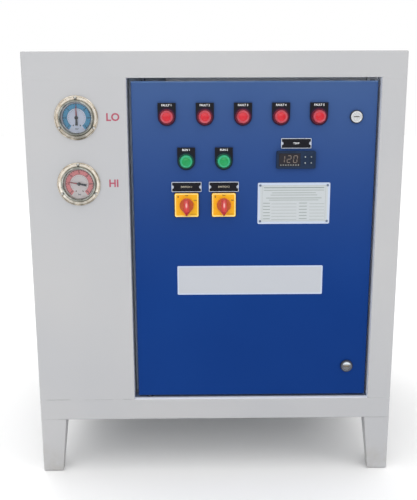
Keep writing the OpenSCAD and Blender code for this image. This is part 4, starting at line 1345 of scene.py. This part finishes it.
def breaker_levers():
    low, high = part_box("circuit_breakers")
    z = middle("circuit_breakers").z
    lever = slab("lever", (-0.0045, low.y - 0.007, z - 0.006), (0.0045, low.y + 0.001, z + 0.010), 0.0012)
    half_pole = 0.0087
    poles = spread(low.x + half_pole, high.x - half_pole, 8)
    dress(copies(lever, [(x, 0, 0) for x in poles], "breaker_levers"), black_plastic)
    spots = [(x, low.y + 0.016, z + rise) for x in poles for rise in (-0.034, 0.034)]
    fasten(pan_screw("breaker_screw", 0.0030), spots, "breaker_screws")


def contactor_screws():
    low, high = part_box("contactors")
    z = middle("contactors").z
    half_body = 0.0225
    spots = [(x + off, low.y + 0.026, z + rise) for x in spread(low.x + half_body, high.x - half_body, 3)
             for off in (-0.014, 0.0, 0.014) for rise in (-0.029, 0.029)]
    fasten(pan_screw("contactor_screw", 0.0034), spots, "contactor_screws")


door_seal()
box_lips()
breaker_levers()
contactor_screws()


# The studio: a pale floor that runs out of sight, soft lights and the photograph's camera.


def studio():
    clear()
    bpy.ops.mesh.primitive_circle_add(vertices=96, radius=14, fill_type="NGON", location=(0, 0, 0))
    floor = taken("studio_floor")
    n = Finish("floor_pale", Specular_IOR_Level=0.1)
    cloud = n.noise(n.spot(), 0.6)
    pale, paler = [0.90, 0.90, 0.90, 1], [0.93, 0.93, 0.93, 1]
    n.feed(Base_Color=n.blend(cloud, pale, paler), Roughness=n.ranged(cloud, 0.3, 0.7, 0.75, 0.85))
    floor.data.materials.append(n.material)
    world = bpy.data.worlds.new("studio_air")
    world.use_nodes = True
    air = Nodes(world.node_tree)
    background = world.node_tree.nodes["Background"].inputs
    background["Color"].default_value = (1.0, 1.0, 1.0, 1)
    seen = air.add("LightPath", {}).outputs["Is Camera Ray"]
    air.put(air.between(seen, 0.62, 1.0), background["Strength"])
    bpy.context.scene.world = world


def softbox(name, place, aim, wide, tall, power):
    clear()
    bpy.ops.object.light_add(type="AREA", location=place)
    lamp = bpy.context.active_object
    lamp.name = name
    lamp.data.shape = "RECTANGLE"
    lamp.data.size = wide
    lamp.data.size_y = tall
    lamp.data.energy = power
    lamp.rotation_euler = (Vector(aim) - Vector(place)).to_track_quat("-Z", "Y").to_euler()


def overhead(strength):
    """Wide even light from straight above, which keeps the floor pale to the horizon."""
    clear()
    bpy.ops.object.light_add(type="SUN", location=(0, 0, 4))
    lamp = bpy.context.active_object
    lamp.name = "overhead_light"
    lamp.data.energy = strength
    lamp.data.angle = 2.0


def camera():
    """The photograph's view: 417 by 500 pixels, a long side of 36 mm and a focal length of 700 pixels."""
    focal_pixels, photo_pixels, sensor = 700, 500, 36
    yaw, pitch, roll = math.radians(0.59), math.radians(12.24), math.radians(0.21)
    ahead = Vector((math.sin(yaw) * math.cos(pitch), math.cos(yaw) * math.cos(pitch), -math.sin(pitch)))
    level = Vector((math.cos(yaw), -math.sin(yaw), 0))
    under = ahead.cross(level)
    right = level * math.cos(roll) + under * math.sin(roll)
    down = under * math.cos(roll) - level * math.sin(roll)
    clear()
    bpy.ops.object.camera_add(location=(-0.0282, -1.72625, 0.7959))
    view = bpy.context.active_object
    view.name = "photo_camera"
    view.data.sensor_width = sensor
    view.data.lens = focal_pixels / photo_pixels * sensor
    view.rotation_euler = Matrix((right, -down, -ahead)).transposed().to_euler()
    bpy.context.scene.camera = view


studio()
softbox("key_light", (-0.4, -3.4, 1.6), (-0.1, 0, 0.45), 3.0, 1.5, 22)
softbox("side_light", (2.6, -1.6, 1.8), (0, 0, 0.5), 1.6, 1.6, 6)
softbox("left_light", (-2.6, -2.4, 1.3), (0.3, -0.3, 0.5), 1.4, 1.6, 6)
softbox("back_light", (-1.6, 3.0, 2.6), (0, 0, 0.5), 2.2, 1.6, 30)
overhead(1.7)
camera()
bpy.context.scene.view_settings.view_transform = "Standard"
